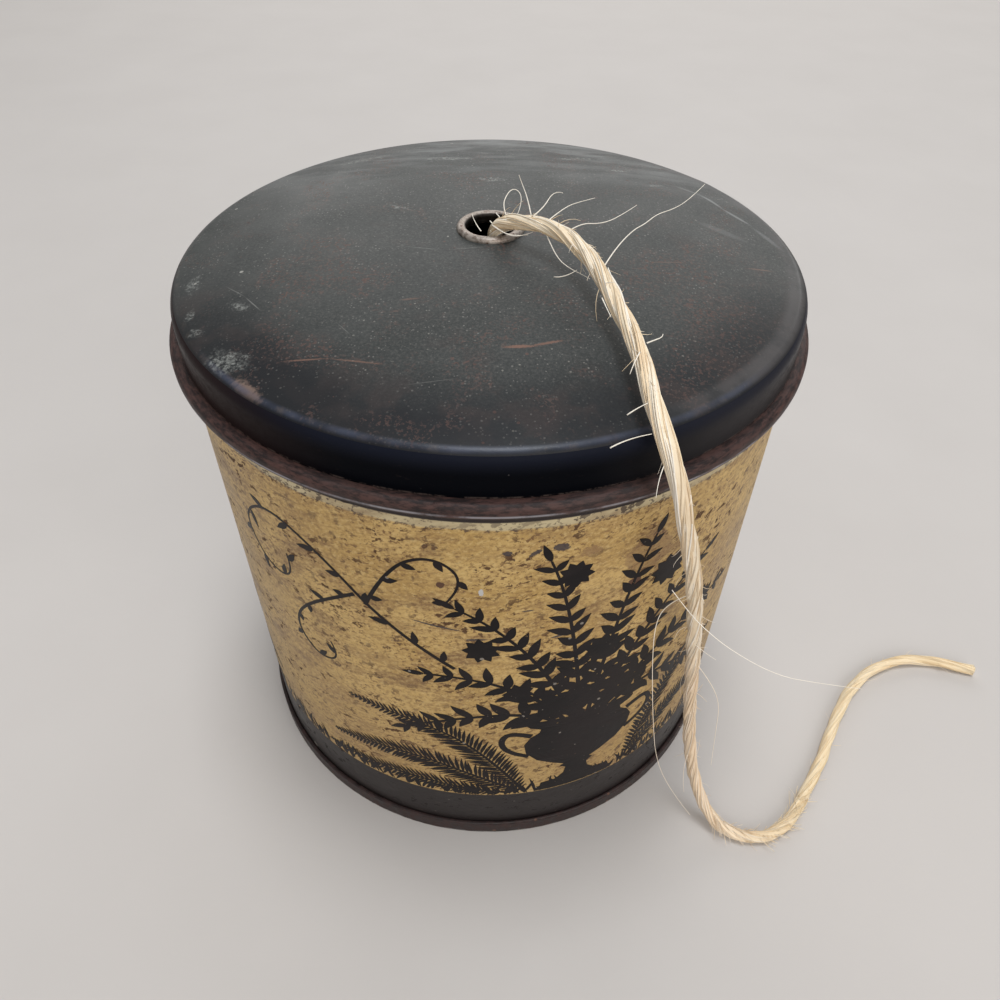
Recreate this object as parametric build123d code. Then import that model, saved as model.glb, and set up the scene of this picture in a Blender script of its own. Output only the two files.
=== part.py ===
from build123d import *
import math
import os

# Twine tin: a round pressed-tin box with a lift-off lid.
# The twine is drawn from the core of a ball inside, up through an eyelet in the lid.
# Millimetres. The origin is the centre of the ring that the tin stands on, and +Z is up.

# Printed body
wall_radius = 59.0          # outside of the wall, and of the neck that the lid slips over
wall_sheet = 0.30           # tinplate of the body
bead_step = 2.45            # how far the stop bead under the lid stands out
bead_low = 105.6            # where the wall starts to swell into the bead
bead_flare = 2.45           # height over which it swells
bead_height = 4.7           # from there to the ledge that the lid stops on
bead_bend = 0.95            # bending radius of the bead's outer corners
bead_foot_bend = 0.4        # bending radius where the bead meets the wall and the neck
neck_height = 5.9           # from the ledge to the mouth
curl_width = 1.3            # inward curl at the mouth
curl_bend = 0.45
curl_tail = 0.6             # last run of the curl, back towards the neck

# Side seam, folded flat on the inside at the back
lock_seam_width = 5.0
lock_seam_depth = 0.6
lock_seam_margin = 0.6      # from its ends to the base panel and to the bead

# Base, seamed round the foot of the wall
base_sheet = 0.30
seam_height = 4.2
seam_gap = 0.03             # between the folded layers
hook_clearance = 0.6        # from a hook's edge to the fold that it points at
fold_bend = 0.2             # bending radius of the seam's folds
panel_height = 4.9          # top of the panel's rim above the table
panel_bend = 0.6
panel_step = 0.8            # rise of the panel's middle
panel_step_radius = 45.0
panel_step_run = 1.4
panel_step_bend = 1.5

# Lid
lid_sheet = 0.35
lid_clearance = 0.08        # between the skirt and the neck, at the radius
lid_seat_gap = 0.10         # between the skirt's raw edge and the ledge
lid_height = 13.2           # from the skirt's edge to the top
crown_flat_radius = 14.0    # level part of the top, round the eyelet
crown_corner_radius = 36.0  # where the level and the slope would meet without their bend
crown_drop = 5.3            # fall of the slope to the shoulder's corner
crown_bend = 180.0
shoulder_bend = 2.4

# Eyelet, clinched in the middle of the lid
eyelet_bore = 4.6           # radius of the hole
eyelet_sheet = 0.35
eyelet_flange_radius = 6.4
eyelet_roll_height = 0.9
eyelet_bend = 0.6
eyelet_fit = 0.05           # between the barrel and its hole, at the radius
eyelet_seat_gap = 0.02

# Twine and its ball
twine_radius = 1.5
ball_seat_gap = 0.1
ball_height = 88.0
ball_radius = 45.5          # core, at half its height
ball_end_radius = 38.0      # core, at its ends
ball_edge_fillet = 4.0
ball_bore_radius = 9.0
ball_bore_fillet = 2.0
winding_turns = 22
turn_gap = 0.6              # between neighbouring turns, along the core
winding_gap = 0.25          # between the winding and the core
gap_points = 72             # points to a turn at which its gap to its neighbours is measured

# Share of a run that one bend may take, in the sheet and in the twine
sheet_bend_share = 0.98
twine_bend_share = 0.45

# Route of the twine, from the core of the ball to its cut end on the table
twine_route = [
    (-7.0, 1.2, 34.0), (-4.4, 0.2, 45.0), (-0.9, -0.5, 60.0), (0.8, 0.3, 79.0), (0.2, 0.6, 98.0),
    (0.4, -0.8, 114.5), (0.5, -2.0, 124.9), (4.3, -6.6, 128.2), (11.4, -12.3, 129.7),
    (16.6, -22.0, 128.9), (19.3, -33.5, 127.6), (21.8, -45.3, 125.9), (22.8, -55.4, 122.7),
    (25.7, -60.8, 116.9), (28.6, -61.8, 106.7), (32.6, -59.6, 92.8), (36.3, -56.0, 76.5),
    (39.4, -52.8, 59.0), (42.0, -51.4, 42.0), (44.5, -51.5, 26.9), (47.1, -53.5, 14.8),
    (50.5, -57.0, 6.1), (55.1, -61.2, 1.6), (63.8, -63.2, 1.6), (71.6, -59.5, 1.6),
    (76.9, -52.4, 1.6), (84.0, -43.5, 1.6), (91.0, -31.7, 1.6), (99.0, -21.3, 1.6),
    (109.1, -14.1, 1.6), (122.4, -11.6, 1.6), (135.1, -16.3, 1.6),
]

# Places worked out from the sizes above
bead_radius = wall_radius + bead_step
bead_top = bead_low + bead_height
mouth_height = bead_top + neck_height
wall_inside = wall_radius - wall_sheet
skirt_radius = wall_radius + lid_clearance
skirt_edge = bead_top + lid_seat_gap
lid_top = skirt_edge + lid_height
lid_underside = lid_top - lid_sheet
panel_top = panel_height + panel_step
barrel_radius = eyelet_bore + eyelet_sheet
ball_foot = panel_top + ball_seat_gap
ball_top = ball_foot + ball_height
ball_middle = ball_foot + ball_height / 2
hook_floor = base_sheet + seam_gap
full_turn = 360.0


def sheet_section(points, bends, sheet):
    """Section of bent sheet, from a line at mid sheet with a bending radius at each corner."""
    line = [Vector(*p) for p in points]
    runs = [(b - a).normalized() for a, b in zip(line, line[1:])]
    turns = [math.atan2(a.X * b.Y - a.Y * b.X, a.X * b.X + a.Y * b.Y)
             for a, b in zip(runs, runs[1:])]
    skins = []
    for side in (sheet / 2, -sheet / 2):
        corners = []
        for point, run, turn in zip(line, [runs[0]] + runs, [0.0] + turns + [0.0]):
            square = Vector(-run.Y, run.X)
            corner = point + square * side - run * side * math.tan(turn / 2)
            corners.append((corner.X, corner.Y))
        radii = [bend - math.copysign(1, turn) * side for bend, turn in zip(bends, turns)]
        skins.append((corners, FilletPolyline(*corners, radius=radii)))
    (left, left_skin), (right, right_skin) = skins
    caps = [Line(left[end], right[end]).edge() for end in (0, -1)]
    return make_face([*left_skin.edges(), *right_skin.edges(), *caps])


def turned(section, arc=full_turn):
    """Solid swept by a section in radius and height round the tin's axis."""
    return revolve(Plane.XZ * section, Axis.Z, arc)


def make_body_wall():
    """Wall with its foot hooked out for the base seam, its stop bead, neck, curl and side seam."""
    mid = wall_radius - wall_sheet / 2
    bead_mid = bead_radius - wall_sheet / 2
    hook_mid = wall_radius + 2 * seam_gap + base_sheet + wall_sheet / 2
    hook_top = seam_height - base_sheet - hook_clearance
    floor = hook_floor + wall_sheet / 2
    ledge = bead_top - wall_sheet / 2
    mouth = mouth_height - wall_sheet / 2
    curl = curl_width - wall_sheet
    points = [
        (hook_mid, hook_top), (hook_mid, floor), (mid, floor),
        (mid, bead_low), (bead_mid, bead_low + bead_flare), (bead_mid, ledge),
        (mid, ledge), (mid, mouth), (mid - curl, mouth),
        (mid - curl, mouth - curl), (mid - curl + curl_tail, mouth - curl),
    ]
    bends = [fold_bend, fold_bend, bead_foot_bend, bead_bend, bead_bend, bead_foot_bend,
             curl_bend, curl_bend, curl_bend]
    wall = turned(sheet_section(points, bends, wall_sheet))

    seam_low = panel_height + lock_seam_margin
    seam_high = bead_low - lock_seam_margin
    seam_face = Pos((wall_inside + wall_sheet / 2 - lock_seam_depth / 2), (seam_low + seam_high) / 2) \
        * Rectangle(lock_seam_depth + wall_sheet, seam_high - seam_low)
    seam_arc = math.degrees(lock_seam_width / wall_inside)
    lock_seam = Rot(Z=90 - seam_arc / 2) * turned(seam_face, seam_arc)
    return wall + lock_seam


def make_base_end():
    """Pressed base: its edge is folded over and under the wall's hook, and its panel stands clear."""
    cover_mid = wall_radius + seam_gap + base_sheet / 2
    outer_mid = wall_radius + 3 * seam_gap + base_sheet + wall_sheet + base_sheet / 2
    chuck_mid = wall_inside - seam_gap - base_sheet / 2
    cover_edge = hook_floor + wall_sheet + hook_clearance
    top_fold = seam_height - base_sheet / 2
    foot = base_sheet / 2
    panel = panel_height - base_sheet / 2
    points = [
        (cover_mid, cover_edge), (cover_mid, top_fold), (outer_mid, top_fold), (outer_mid, foot),
        (chuck_mid, foot), (chuck_mid, panel), (panel_step_radius + panel_step_run, panel),
        (panel_step_radius, panel + panel_step), (0, panel + panel_step),
    ]
    bends = [fold_bend, fold_bend, fold_bend, fold_bend, panel_bend, panel_step_bend,
             panel_step_bend]
    return turned(sheet_section(points, bends, base_sheet))


def make_lid_cap():
    """Drawn lid: level round the eyelet, falling in a slow curve to the shoulder and skirt."""
    top = lid_top - lid_sheet / 2
    skirt_mid = skirt_radius + lid_sheet / 2
    slope = math.atan2(crown_drop, skirt_mid - crown_corner_radius)
    slope_run = math.hypot(crown_drop, skirt_mid - crown_corner_radius)
    shoulder_reach = shoulder_bend * math.tan((math.pi / 2 - slope) / 2)
    reach = sheet_bend_share * min(crown_corner_radius - crown_flat_radius, slope_run - shoulder_reach)
    bend = min(crown_bend, reach / math.tan(slope / 2))
    points = [
        (barrel_radius + eyelet_fit, top), (crown_corner_radius, top),
        (skirt_mid, top - crown_drop), (skirt_mid, skirt_edge),
    ]
    return turned(sheet_section(points, [bend, shoulder_bend], lid_sheet))


def make_eyelet():
    """Tube eyelet, rolled outwards over the lid and clinched outwards under it."""
    flange_mid = eyelet_flange_radius - eyelet_sheet / 2
    barrel_mid = barrel_radius - eyelet_sheet / 2
    upper_seat = lid_top + eyelet_seat_gap
    lower_seat = lid_underside - eyelet_seat_gap
    rise = eyelet_roll_height - eyelet_sheet / 2
    points = [
        (flange_mid, upper_seat), (flange_mid, upper_seat + rise), (barrel_mid, upper_seat + rise),
        (barrel_mid, lower_seat - rise), (flange_mid, lower_seat - rise), (flange_mid, lower_seat),
    ]
    return turned(sheet_section(points, [eyelet_bend] * 4, eyelet_sheet))


def make_ball_core():
    """Inner windings of the ball as one barrel, with the hole that the twine is drawn from."""
    side = ThreePointArc((ball_end_radius, ball_foot), (ball_radius, ball_middle),
                         (ball_end_radius, ball_top))
    ends = Polyline((ball_end_radius, ball_top), (ball_bore_radius, ball_top),
                    (ball_bore_radius, ball_foot), (ball_end_radius, ball_foot))
    section = make_face([side.edge(), *ends.edges()])
    outer = section.vertices().filter_by(lambda v: v.X > (ball_bore_radius + ball_end_radius) / 2)
    section = fillet(outer, ball_edge_fillet)
    inner = section.vertices().filter_by(lambda v: v.X < ball_bore_radius + ball_bore_fillet)
    section = fillet(inner, ball_bore_fillet)
    return turned(section)


def winding_point(turn):
    """Place and direction of the winding's centre line after a number of turns."""
    half = ball_height / 2
    bulge = ball_radius - ball_end_radius
    barrel = (half ** 2 + bulge ** 2) / (2 * bulge)
    ride = barrel + winding_gap + twine_radius
    centre = ball_radius - barrel
    pitch_angle = (2 * twine_radius + turn_gap) / ride
    lean = pitch_angle * (turn - winding_turns / 2)
    around = 2 * math.pi * turn
    radius = centre + ride * math.cos(lean)
    place = Vector(radius * math.cos(around), radius * math.sin(around),
                   ball_middle + ride * math.sin(lean))
    swing = -ride * math.sin(lean) * pitch_angle
    along = Vector(
        swing * math.cos(around) - 2 * math.pi * radius * math.sin(around),
        swing * math.sin(around) + 2 * math.pi * radius * math.cos(around),
        ride * math.cos(lean) * pitch_angle,
    )
    return place, along.normalized()


def biarc(start, way_out, end, way_in):
    """Two arcs from one place and direction to another, meeting in line."""
    gap = end - start
    both = way_out + way_in
    bend = 2 * (1 - way_out.dot(way_in))
    across = gap.dot(both)
    arm = (math.sqrt(across ** 2 + bend * gap.dot(gap)) - across) / bend
    first_corner = start + way_out * arm
    second_corner = end - way_in * arm
    middle = (first_corner + second_corner) * 0.5
    way_through = (second_corner - first_corner).normalized()
    return [Edge.make_tangent_arc(start, way_out, middle),
            Edge.make_tangent_arc(middle, way_through, end)]


def make_ball_winding():
    """Outer turns of the ball, one unbroken length wound up the barrel."""
    halves = range(2 * winding_turns + 1)
    stops = [winding_point(half / 2) for half in halves]
    first, first_way = stops[0]
    last, last_way = stops[-1]
    lead = 2 * twine_radius
    path = [Edge.make_line(first - first_way * lead, first)]
    for (start, way_out), (end, way_in) in zip(stops, stops[1:]):
        path += biarc(start, way_out, end, way_in)
    path.append(Edge.make_line(last, last + last_way * lead))
    line = Wire(path)
    section = Plane(line @ 0, z_dir=line % 0) * Circle(twine_radius)
    tube = sweep(section, path=line)
    print(f"winding: {winding_turns} turns, {line.length:.0f} mm, volume over section by length "
          f"{tube.volume / (line.length * math.pi * twine_radius ** 2):.4f}")
    print(f"winding: least gap to itself {least_gap():.2f} mm")
    return tube


def least_gap():
    """Smallest gap between turns of the winding, measured on points along it."""
    points = [winding_point(k / gap_points)[0] for k in range(gap_points * winding_turns + 1)]
    gaps = []
    for k, point in enumerate(points):
        near = points[k + gap_points // 2:k + 3 * gap_points // 2]
        gaps += [(point - other).length for other in near]
    return min(gaps) - 2 * twine_radius


def make_twine():
    """Free twine: straight runs joined by arcs as large as the runs allow."""
    points = [Vector(*p) for p in twine_route]
    runs = [b - a for a, b in zip(points, points[1:])]
    radii = []
    for before, after in zip(runs, runs[1:]):
        half_turn = math.radians(before.get_angle(after)) / 2
        radii.append(twine_bend_share * min(before.length, after.length) / math.tan(half_turn))
    line = FilletPolyline(*twine_route, radius=radii)
    section = Plane(line @ 0, z_dir=line % 0) * Circle(twine_radius)
    tube = sweep(section, path=line)
    print("twine: radii", ", ".join(f"{r:.0f}" for r in radii))
    print("twine: turns", ", ".join(f"{a.get_angle(b):.0f}" for a, b in zip(runs, runs[1:])))
    print("twine: runs", ", ".join(f"{r.length:.0f}" for r in runs))
    print(f"twine: length {line.length:.0f} mm, volume over section by length "
          f"{tube.volume / (line.length * math.pi * twine_radius ** 2):.4f}")
    return tube


os.makedirs("parts", exist_ok=True)
parts = {
    "body_wall": make_body_wall,
    "base_end": make_base_end,
    "ball_core": make_ball_core,
    "ball_winding": make_ball_winding,
    "lid_cap": make_lid_cap,
    "eyelet": make_eyelet,
    "twine": make_twine,
}
for name, make in parts.items():
    export_step(make(), f"parts/{name}.step")
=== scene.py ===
# %% [markdown]
# # A twine tin
# A round pressed tin holds a ball of twine. The twine leaves the middle of the ball, comes up
# through an eyelet in the lid, and lies over the edge and down on the floor. The construction
# comes as a ready frame, in metres, with the tin's axis on Z and the floor at height zero.
# These cells add what the eye sees: bent sheet with its dents, worn print and lacquer, and twine
# that is laid up from its yarns.

# %% Load the frame
import math
import random

import bpy
import numpy as np
from mathutils import Matrix, Vector


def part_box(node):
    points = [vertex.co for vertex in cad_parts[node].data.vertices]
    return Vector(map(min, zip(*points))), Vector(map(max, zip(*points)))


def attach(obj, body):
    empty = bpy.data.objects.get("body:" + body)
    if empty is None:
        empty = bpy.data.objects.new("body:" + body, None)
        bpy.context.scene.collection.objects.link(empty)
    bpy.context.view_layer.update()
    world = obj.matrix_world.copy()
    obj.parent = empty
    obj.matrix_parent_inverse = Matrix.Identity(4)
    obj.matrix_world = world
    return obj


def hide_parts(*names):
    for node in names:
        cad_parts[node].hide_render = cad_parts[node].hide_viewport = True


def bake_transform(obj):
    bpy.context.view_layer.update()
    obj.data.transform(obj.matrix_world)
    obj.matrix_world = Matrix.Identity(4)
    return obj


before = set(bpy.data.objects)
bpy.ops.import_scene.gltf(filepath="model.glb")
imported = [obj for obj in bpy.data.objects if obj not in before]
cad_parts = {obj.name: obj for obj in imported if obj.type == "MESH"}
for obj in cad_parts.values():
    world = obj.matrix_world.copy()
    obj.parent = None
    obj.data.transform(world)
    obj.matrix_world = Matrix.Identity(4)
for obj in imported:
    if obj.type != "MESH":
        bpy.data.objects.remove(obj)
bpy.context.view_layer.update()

MM = 0.001
print("nodes:", sorted(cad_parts))

# %% [markdown]
# ## The camera first
# The photograph was taken close to the tin with a wide lens, looking down at about 44 degrees.
# A wide lens close by makes the lid large and lets the wall draw in towards the floor, so the
# camera's distance matters as much as its angle. All else is judged through it.

# %% Camera
def place_in_scene(name, data):
    """A new object in the scene for a mesh, a curve, a lamp or a camera."""
    obj = bpy.data.objects.new(name, data)
    bpy.context.scene.collection.objects.link(obj)
    return obj


camera_place = Vector((-1.12 * MM, -145.72 * MM, 193.42 * MM))
look_down = math.radians(43.978)
look_right = math.radians(1.392)
camera_roll = math.radians(0.747)
sensor_width = 36.0
lens = 29.43

camera_data = bpy.data.cameras.new("photo_camera")
camera_data.sensor_width = sensor_width
camera_data.lens = lens
camera_data.clip_start = 5 * MM
camera = place_in_scene("photo_camera", camera_data)
camera_turn = (Matrix.Rotation(-look_right, 3, "Z") @ Matrix.Rotation(math.pi / 2 - look_down, 3, "X")
               @ Matrix.Rotation(camera_roll, 3, "Z"))
camera.matrix_world = Matrix.Translation(camera_place) @ camera_turn.to_4x4()
bpy.context.scene.camera = camera
print("camera at", [round(v, 3) for v in camera.location], "lens", lens)

# %% Sight lines through the camera
picture_size = 1000
slope_per_pixel = sensor_width / lens / picture_size


def sight(x, y):
    """Direction from the camera through a pixel of the photograph."""
    across = (x - picture_size / 2) * slope_per_pixel
    up = (picture_size / 2 - y) * slope_per_pixel
    return camera_turn @ Vector((across, up, -1.0))


def seen_at_height(x, y, height):
    """Place that a pixel shows, on a level plane."""
    way = sight(x, y)
    return camera_place + way * ((height - camera_place.z) / way.z)


def seen_at_depth(x, y, depth):
    """Place that a pixel shows, at a distance along the camera's axis."""
    return camera_place + sight(x, y) * depth


def pixel_of(place):
    """Pixel that shows a place, and the place's distance along the camera's axis."""
    view = camera_turn.inverted() @ (Vector(place) - camera_place)
    across, up = view.x / -view.z / slope_per_pixel, view.y / -view.z / slope_per_pixel
    return (picture_size / 2 + across, picture_size / 2 - up), -view.z


# %% [markdown]
# ## The line of the twine
# Limp twine hangs and lies in one smooth curve, so its route is a short list of points and a
# NURBS curve that they control. The curve is read back as a chain of points, because the yarns of
# the twine have to be laid up around it.

# %% Route of the twine
twine_radius = 1.5 * MM
twine_step = 0.9 * MM
twine_route = [
    (-7.0, 1.2, 34.0), (-4.4, 0.2, 45.0), (-0.9, -0.5, 60.0), (0.8, 0.3, 79.0), (0.2, 0.6, 98.0),
    (0.4, -0.8, 114.5), (0.5, -2.0, 124.9), (4.3, -6.6, 128.2), (11.4, -12.3, 129.7),
    (16.6, -22.0, 128.9), (19.3, -33.5, 127.6), (21.8, -45.3, 125.9), (22.8, -55.4, 122.7),
    (25.7, -60.8, 116.9), (28.6, -61.8, 106.7), (32.6, -59.6, 92.8), (36.3, -56.0, 76.5),
    (39.4, -52.8, 59.0), (42.0, -51.4, 42.0), (44.5, -51.5, 26.9), (47.1, -53.5, 14.8),
    (50.5, -57.0, 6.1), (55.1, -61.2, 1.6), (63.8, -63.2, 1.6), (71.6, -59.5, 1.6),
    (76.9, -52.4, 1.6), (84.0, -43.5, 1.6), (91.0, -31.7, 1.6), (99.0, -21.3, 1.6),
    (109.1, -14.1, 1.6), (122.4, -11.6, 1.6), (135.1, -16.3, 1.6),
]


def smooth_line(places, detail):
    """Points along a NURBS curve of order 3 that starts and ends at its first and last places."""
    data = bpy.data.curves.new("route", "CURVE")
    data.dimensions = "3D"
    data.resolution_u = detail
    spline = data.splines.new("NURBS")
    spline.points.add(len(places) - 1)
    for point, place in zip(spline.points, places):
        point.co = (*place, 1.0)
    spline.order_u = 3
    spline.use_endpoint_u = True
    obj = place_in_scene("route", data)
    mesh = bpy.data.meshes.new_from_object(obj)
    line = np.array([vertex.co for vertex in mesh.vertices])
    bpy.data.objects.remove(obj)
    bpy.data.curves.remove(data)
    bpy.data.meshes.remove(mesh)
    return line


def step_lengths(line):
    """Distance from each point of a line to the next."""
    return np.linalg.norm(np.diff(line, axis=0), axis=1)


def running_sum(steps):
    """Sums along a chain of steps, from zero."""
    return np.concatenate([[0.0], np.cumsum(steps)])


def even_steps(line, step):
    """The same line with its points a steady step apart."""
    along = running_sum(step_lengths(line))
    places = np.linspace(0.0, along[-1], max(2, round(along[-1] / step)))
    return np.stack([np.interp(places, along, line[:, axis]) for axis in range(3)], 1)


twine_line = smooth_line([tuple(v * MM for v in place) for place in twine_route], detail=12)
twine_length = running_sum(step_lengths(twine_line))[-1]
twine_path = even_steps(twine_line, twine_step)
print(f"twine: {twine_length / MM:.0f} mm in {len(twine_path)} steps")

# %% [markdown]
# ## Laying up the twine
# The twine is three yarns twisted together, and each yarn is a bundle of long fibres. Painting
# lines on a tube would look like a hose, so the fibres are tubes of their own. They run in a
# helix round their yarn, and the yarn runs in a wider helix round the route. Each fibre bundle
# keeps its own tone in an attribute, because straw, cream and nearly white ones lie side by side.


# %% Helpers that turn lines into tubes
def ways_along(path):
    """Direction of a path at each of its points."""
    ways = np.gradient(path, axis=0)
    return ways / np.linalg.norm(ways, axis=1)[:, None]


def frames_along(path):
    """Two directions square to a path at each of its points, carried along it without twisting."""
    ways = ways_along(path)
    nearly_upright = abs(ways[0][2]) > 0.9
    side = np.cross(ways[0], (1.0, 0.0, 0.0) if nearly_upright else (0.0, 0.0, 1.0))
    sides = []
    for way in ways:
        side = side - way * side.dot(way)
        side /= np.linalg.norm(side)
        sides.append(side)
    sides = np.array(sides)
    return sides, np.cross(ways, sides)


def helix_round(path, radius, angles):
    """A line that winds round a path at the given angles. The radius may differ at each point."""
    sides, ups = frames_along(path)
    radius = np.broadcast_to(radius, len(path))
    return path + sides * (radius * np.cos(angles))[:, None] + ups * (radius * np.sin(angles))[:, None]


class Gathered:
    """Points and faces gathered for one mesh."""

    def __init__(self):
        self.places, self.faces, self.tones = [], [], []
        self.count = 0

    def gather(self, places, faces):
        """Add points, and faces that already count on from the points before them."""
        self.places.append(places)
        self.faces += faces
        self.count += len(places)

    def mesh(self, name):
        """The mesh of all that was gathered."""
        mesh = bpy.data.meshes.new(name)
        mesh.from_pydata(np.concatenate(self.places).tolist(), [], self.faces)
        return mesh


class TubeBundle(Gathered):
    """Many tubes gathered into one mesh, each with its own tone."""

    def add(self, path, radius, tone, sides):
        """One closed tube along a path. The radius may differ at each point."""
        across, up = frames_along(path)
        radius = np.broadcast_to(radius, len(path))[:, None]
        angles = np.arange(sides) * 2 * math.pi / sides
        rings = [path + across * radius * math.cos(a) + up * radius * math.sin(a) for a in angles]
        places = np.stack(rings, 1).reshape(-1, 3)
        ring = np.arange(len(path) - 1)[:, None] * sides + self.count
        here = np.arange(sides)
        there = (here + 1) % sides
        quads = np.stack([ring + here, ring + there, ring + sides + there, ring + sides + here], -1)
        last = self.count + (len(path) - 1) * sides
        ends = [[self.count + k for k in reversed(range(sides))], [last + k for k in range(sides)]]
        self.gather(places, quads.reshape(-1, 4).tolist() + ends)
        self.tones.append(np.full(len(places), tone))

    def build(self, name):
        """The finished object, smooth shaded."""
        mesh = self.mesh(name)
        tone = mesh.attributes.new("tone", "FLOAT", "POINT")
        tone.data.foreach_set("value", np.concatenate(self.tones).astype(np.float32))
        mesh.shade_smooth()
        return place_in_scene(name, mesh)


# %% Twine laid up from yarns and fibres
chance = random.Random(7)
yarns = 3
yarn_radius = 0.67 * twine_radius
yarn_ride = 0.27 * twine_radius
heart_radius = 0.93 * yarn_radius
heart_tone = 0.35
fibre_ride = 0.92 * yarn_radius
lay_fibre_radius = 0.085 * twine_radius
fibre_twist = 0.35


def waver(path, depth, slowest, quickest):
    """A slow wave along a path, with a rate and a start that are left to chance."""
    shares = np.linspace(0.0, 1.0, len(path))
    return depth * np.sin(shares * chance.uniform(slowest, quickest) + chance.uniform(0, 6))


def lay_up(name, path, lay, fibres):
    """Twine round a path: yarns in a helix, each with its own fibres. The lay may change along it."""
    bundle = TubeBundle()
    lay = np.broadcast_to(lay, len(path))
    twist = 2 * math.pi * running_sum(step_lengths(path) / lay[1:])
    for yarn in range(yarns):
        slack = 1 + waver(path, 0.10, 40, 90)
        line = helix_round(path, yarn_ride * slack, twist + 2 * math.pi * yarn / yarns)
        bundle.add(line, heart_radius, heart_tone + 0.1 * yarn, sides=8)
        for fibre in range(fibres):
            swell = 1 + waver(path, 0.09, 30, 80)
            drift = waver(path, 0.5, 20, 50)
            angle = 2 * math.pi * (fibre + chance.uniform(-0.3, 0.3)) / fibres
            strand = helix_round(line, fibre_ride * swell, twist * fibre_twist + angle + drift)
            bundle.add(strand, lay_fibre_radius * chance.uniform(0.6, 1.25), chance.random(), sides=3)
    return bundle.build(name)


# %% The free twine
eyelet_lay, hanging_lay, floor_lay = 22 * MM, 31 * MM, 17 * MM
lays = [(0, eyelet_lay), (95, eyelet_lay), (125, 1.2 * eyelet_lay), (160, hanging_lay),
        (235, hanging_lay), (265, floor_lay), (330, 1.5 * floor_lay), (twine_length / MM, 2 * floor_lay)]
along_twine = np.linspace(0.0, twine_length, len(twine_path))
lay_along = np.interp(along_twine, [run * MM for run, lay in lays], [lay for run, lay in lays])
twine = lay_up("free_twine", twine_path, lay_along, fibres=22)
print("free twine:", len(twine.data.polygons), "faces")

# %% [markdown]
# ## Stray fibres
# Rough twine sheds. Around the eyelet its fibres have been scraped up into loops and long wisps,
# short ones stand off all the way down, and more of them where it turns on the floor. The longest
# are placed where the photograph shows them, as pixels on their way from root to tip, and their
# height or depth is chosen so that they leave the twine and stay clear of the tin. The short ones
# are strewn by a seeded generator.

# %% Long fibres over the lid
# Each has the pixels that it passes, its height in millimetres at its root and at its tip
lid_fibres = [
    ([(507, 217), (502, 206), (508, 192), (515, 188), (522, 195), (520, 209), (517, 215)], 127.5, 128.0),
    ([(531, 215), (528, 199), (521, 181), (519, 175)], 131.5, 136.0),
    ([(533, 216), (543, 209), (554, 190), (563, 193)], 131.0, 133.0),
    ([(549, 220), (565, 207), (579, 202), (595, 198)], 130.5, 128.0),
    ([(569, 231), (581, 223), (601, 224), (619, 217), (637, 205)], 130.0, 126.5),
    ([(605, 265), (615, 249), (633, 230), (645, 224), (657, 214), (674, 209), (690, 199), (705, 184)],
     129.5, 126.0),
    ([(545, 231), (549, 241), (558, 259), (569, 268), (581, 274), (590, 279)], 128.6, 124.6),
    ([(554, 277), (565, 278), (577, 270)], 124.8, 126.5),
    ([(492, 225), (501, 232), (518, 238), (533, 232)], 126.2, 127.0),
    ([(490, 221), (499, 231), (514, 236), (528, 235)], 126.0, 126.6),
    ([(481, 231), (474, 222), (472, 214)], 125.0, 124.9),
    ([(496, 213), (502, 220), (507, 226)], 126.0, 127.0),
    ([(608, 268), (611, 276), (616, 284), (621, 292)], 130.3, 129.8),
    ([(602, 298), (606, 307), (611, 317)], 129.6, 129.4),
    ([(647, 343), (655, 340), (663, 337), (663, 334)], 128.6, 127.6),
    ([(627, 415), (637, 408), (648, 403)], 124.2, 125.8),
    ([(610, 448), (628, 438), (652, 434)], 120.6, 122.6),
    ([(640, 352), (634, 362), (630, 374)], 128.0, 126.4),
]
print("fibres over the lid:", len(lid_fibres))

# %% Long fibres beside the hanging twine
# Each has the pixels that it passes and how much nearer than the twine its tip is, in millimetres
hanging_fibres = [
    ([(672, 590), (684, 606), (700, 625), (730, 650), (775, 675), (815, 683), (862, 689)], -6.0),
    ([(686, 596), (668, 603), (655, 622), (652, 665), (653, 725), (656, 760), (670, 790), (690, 815)],
     -30.0),
    ([(695, 662), (708, 678), (720, 702), (716, 730), (711, 765)], -6.0),
    ([(690, 640), (703, 652), (716, 660)], 3.0),
    ([(691, 690), (700, 694), (707, 702)], 3.0),
    ([(690, 700), (699, 690), (703, 684)], 3.0),
    ([(680, 520), (688, 512), (691, 500)], 3.0),
    ([(692, 560), (697, 548), (698, 536)], 3.0),
    ([(664, 466), (658, 480), (656, 498)], 2.0),
    ([(689, 750), (681, 770), (684, 792)], 4.0),
    ([(690, 770), (698, 756), (700, 740)], 4.0),
]
long_fibre_radius = 0.11 * MM
fibre_step = 0.5 * MM
tips_start = 0.5
lead_top = 100 * MM
stray = TubeBundle()


def along_heights(pixels, first, last):
    """Places that pixels show, with the height changing steadily from the first to the last."""
    heights = np.linspace(first, last, len(pixels)) * MM
    return [seen_at_height(x, y, float(height)) for (x, y), height in zip(pixels, heights)]


def along_depths(pixels, nearer):
    """Places that pixels show, starting at the twine's depth and ending nearer to the camera."""
    seen = [pixel_of(place) for k, place in enumerate(twine_path)
            if place[2] >= lead_top or k >= len(twine_path) / 3]
    pixel, root_depth = min(seen, key=lambda spot: math.dist(spot[0], pixels[0]))
    shares = np.linspace(0.0, 1.0, len(pixels))
    return [seen_at_depth(x, y, root_depth - (tips_start + nearer * share) * MM)
            for (x, y), share in zip(pixels, shares)]


def add_fibre(places, radius, tone):
    """A fibre on a smooth line through chosen places, thinning towards its tip."""
    path = even_steps(smooth_line([tuple(place) for place in places], detail=8), fibre_step)
    stray.add(path, radius * np.linspace(1.0, 0.45, len(path)), tone, sides=5)


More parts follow.
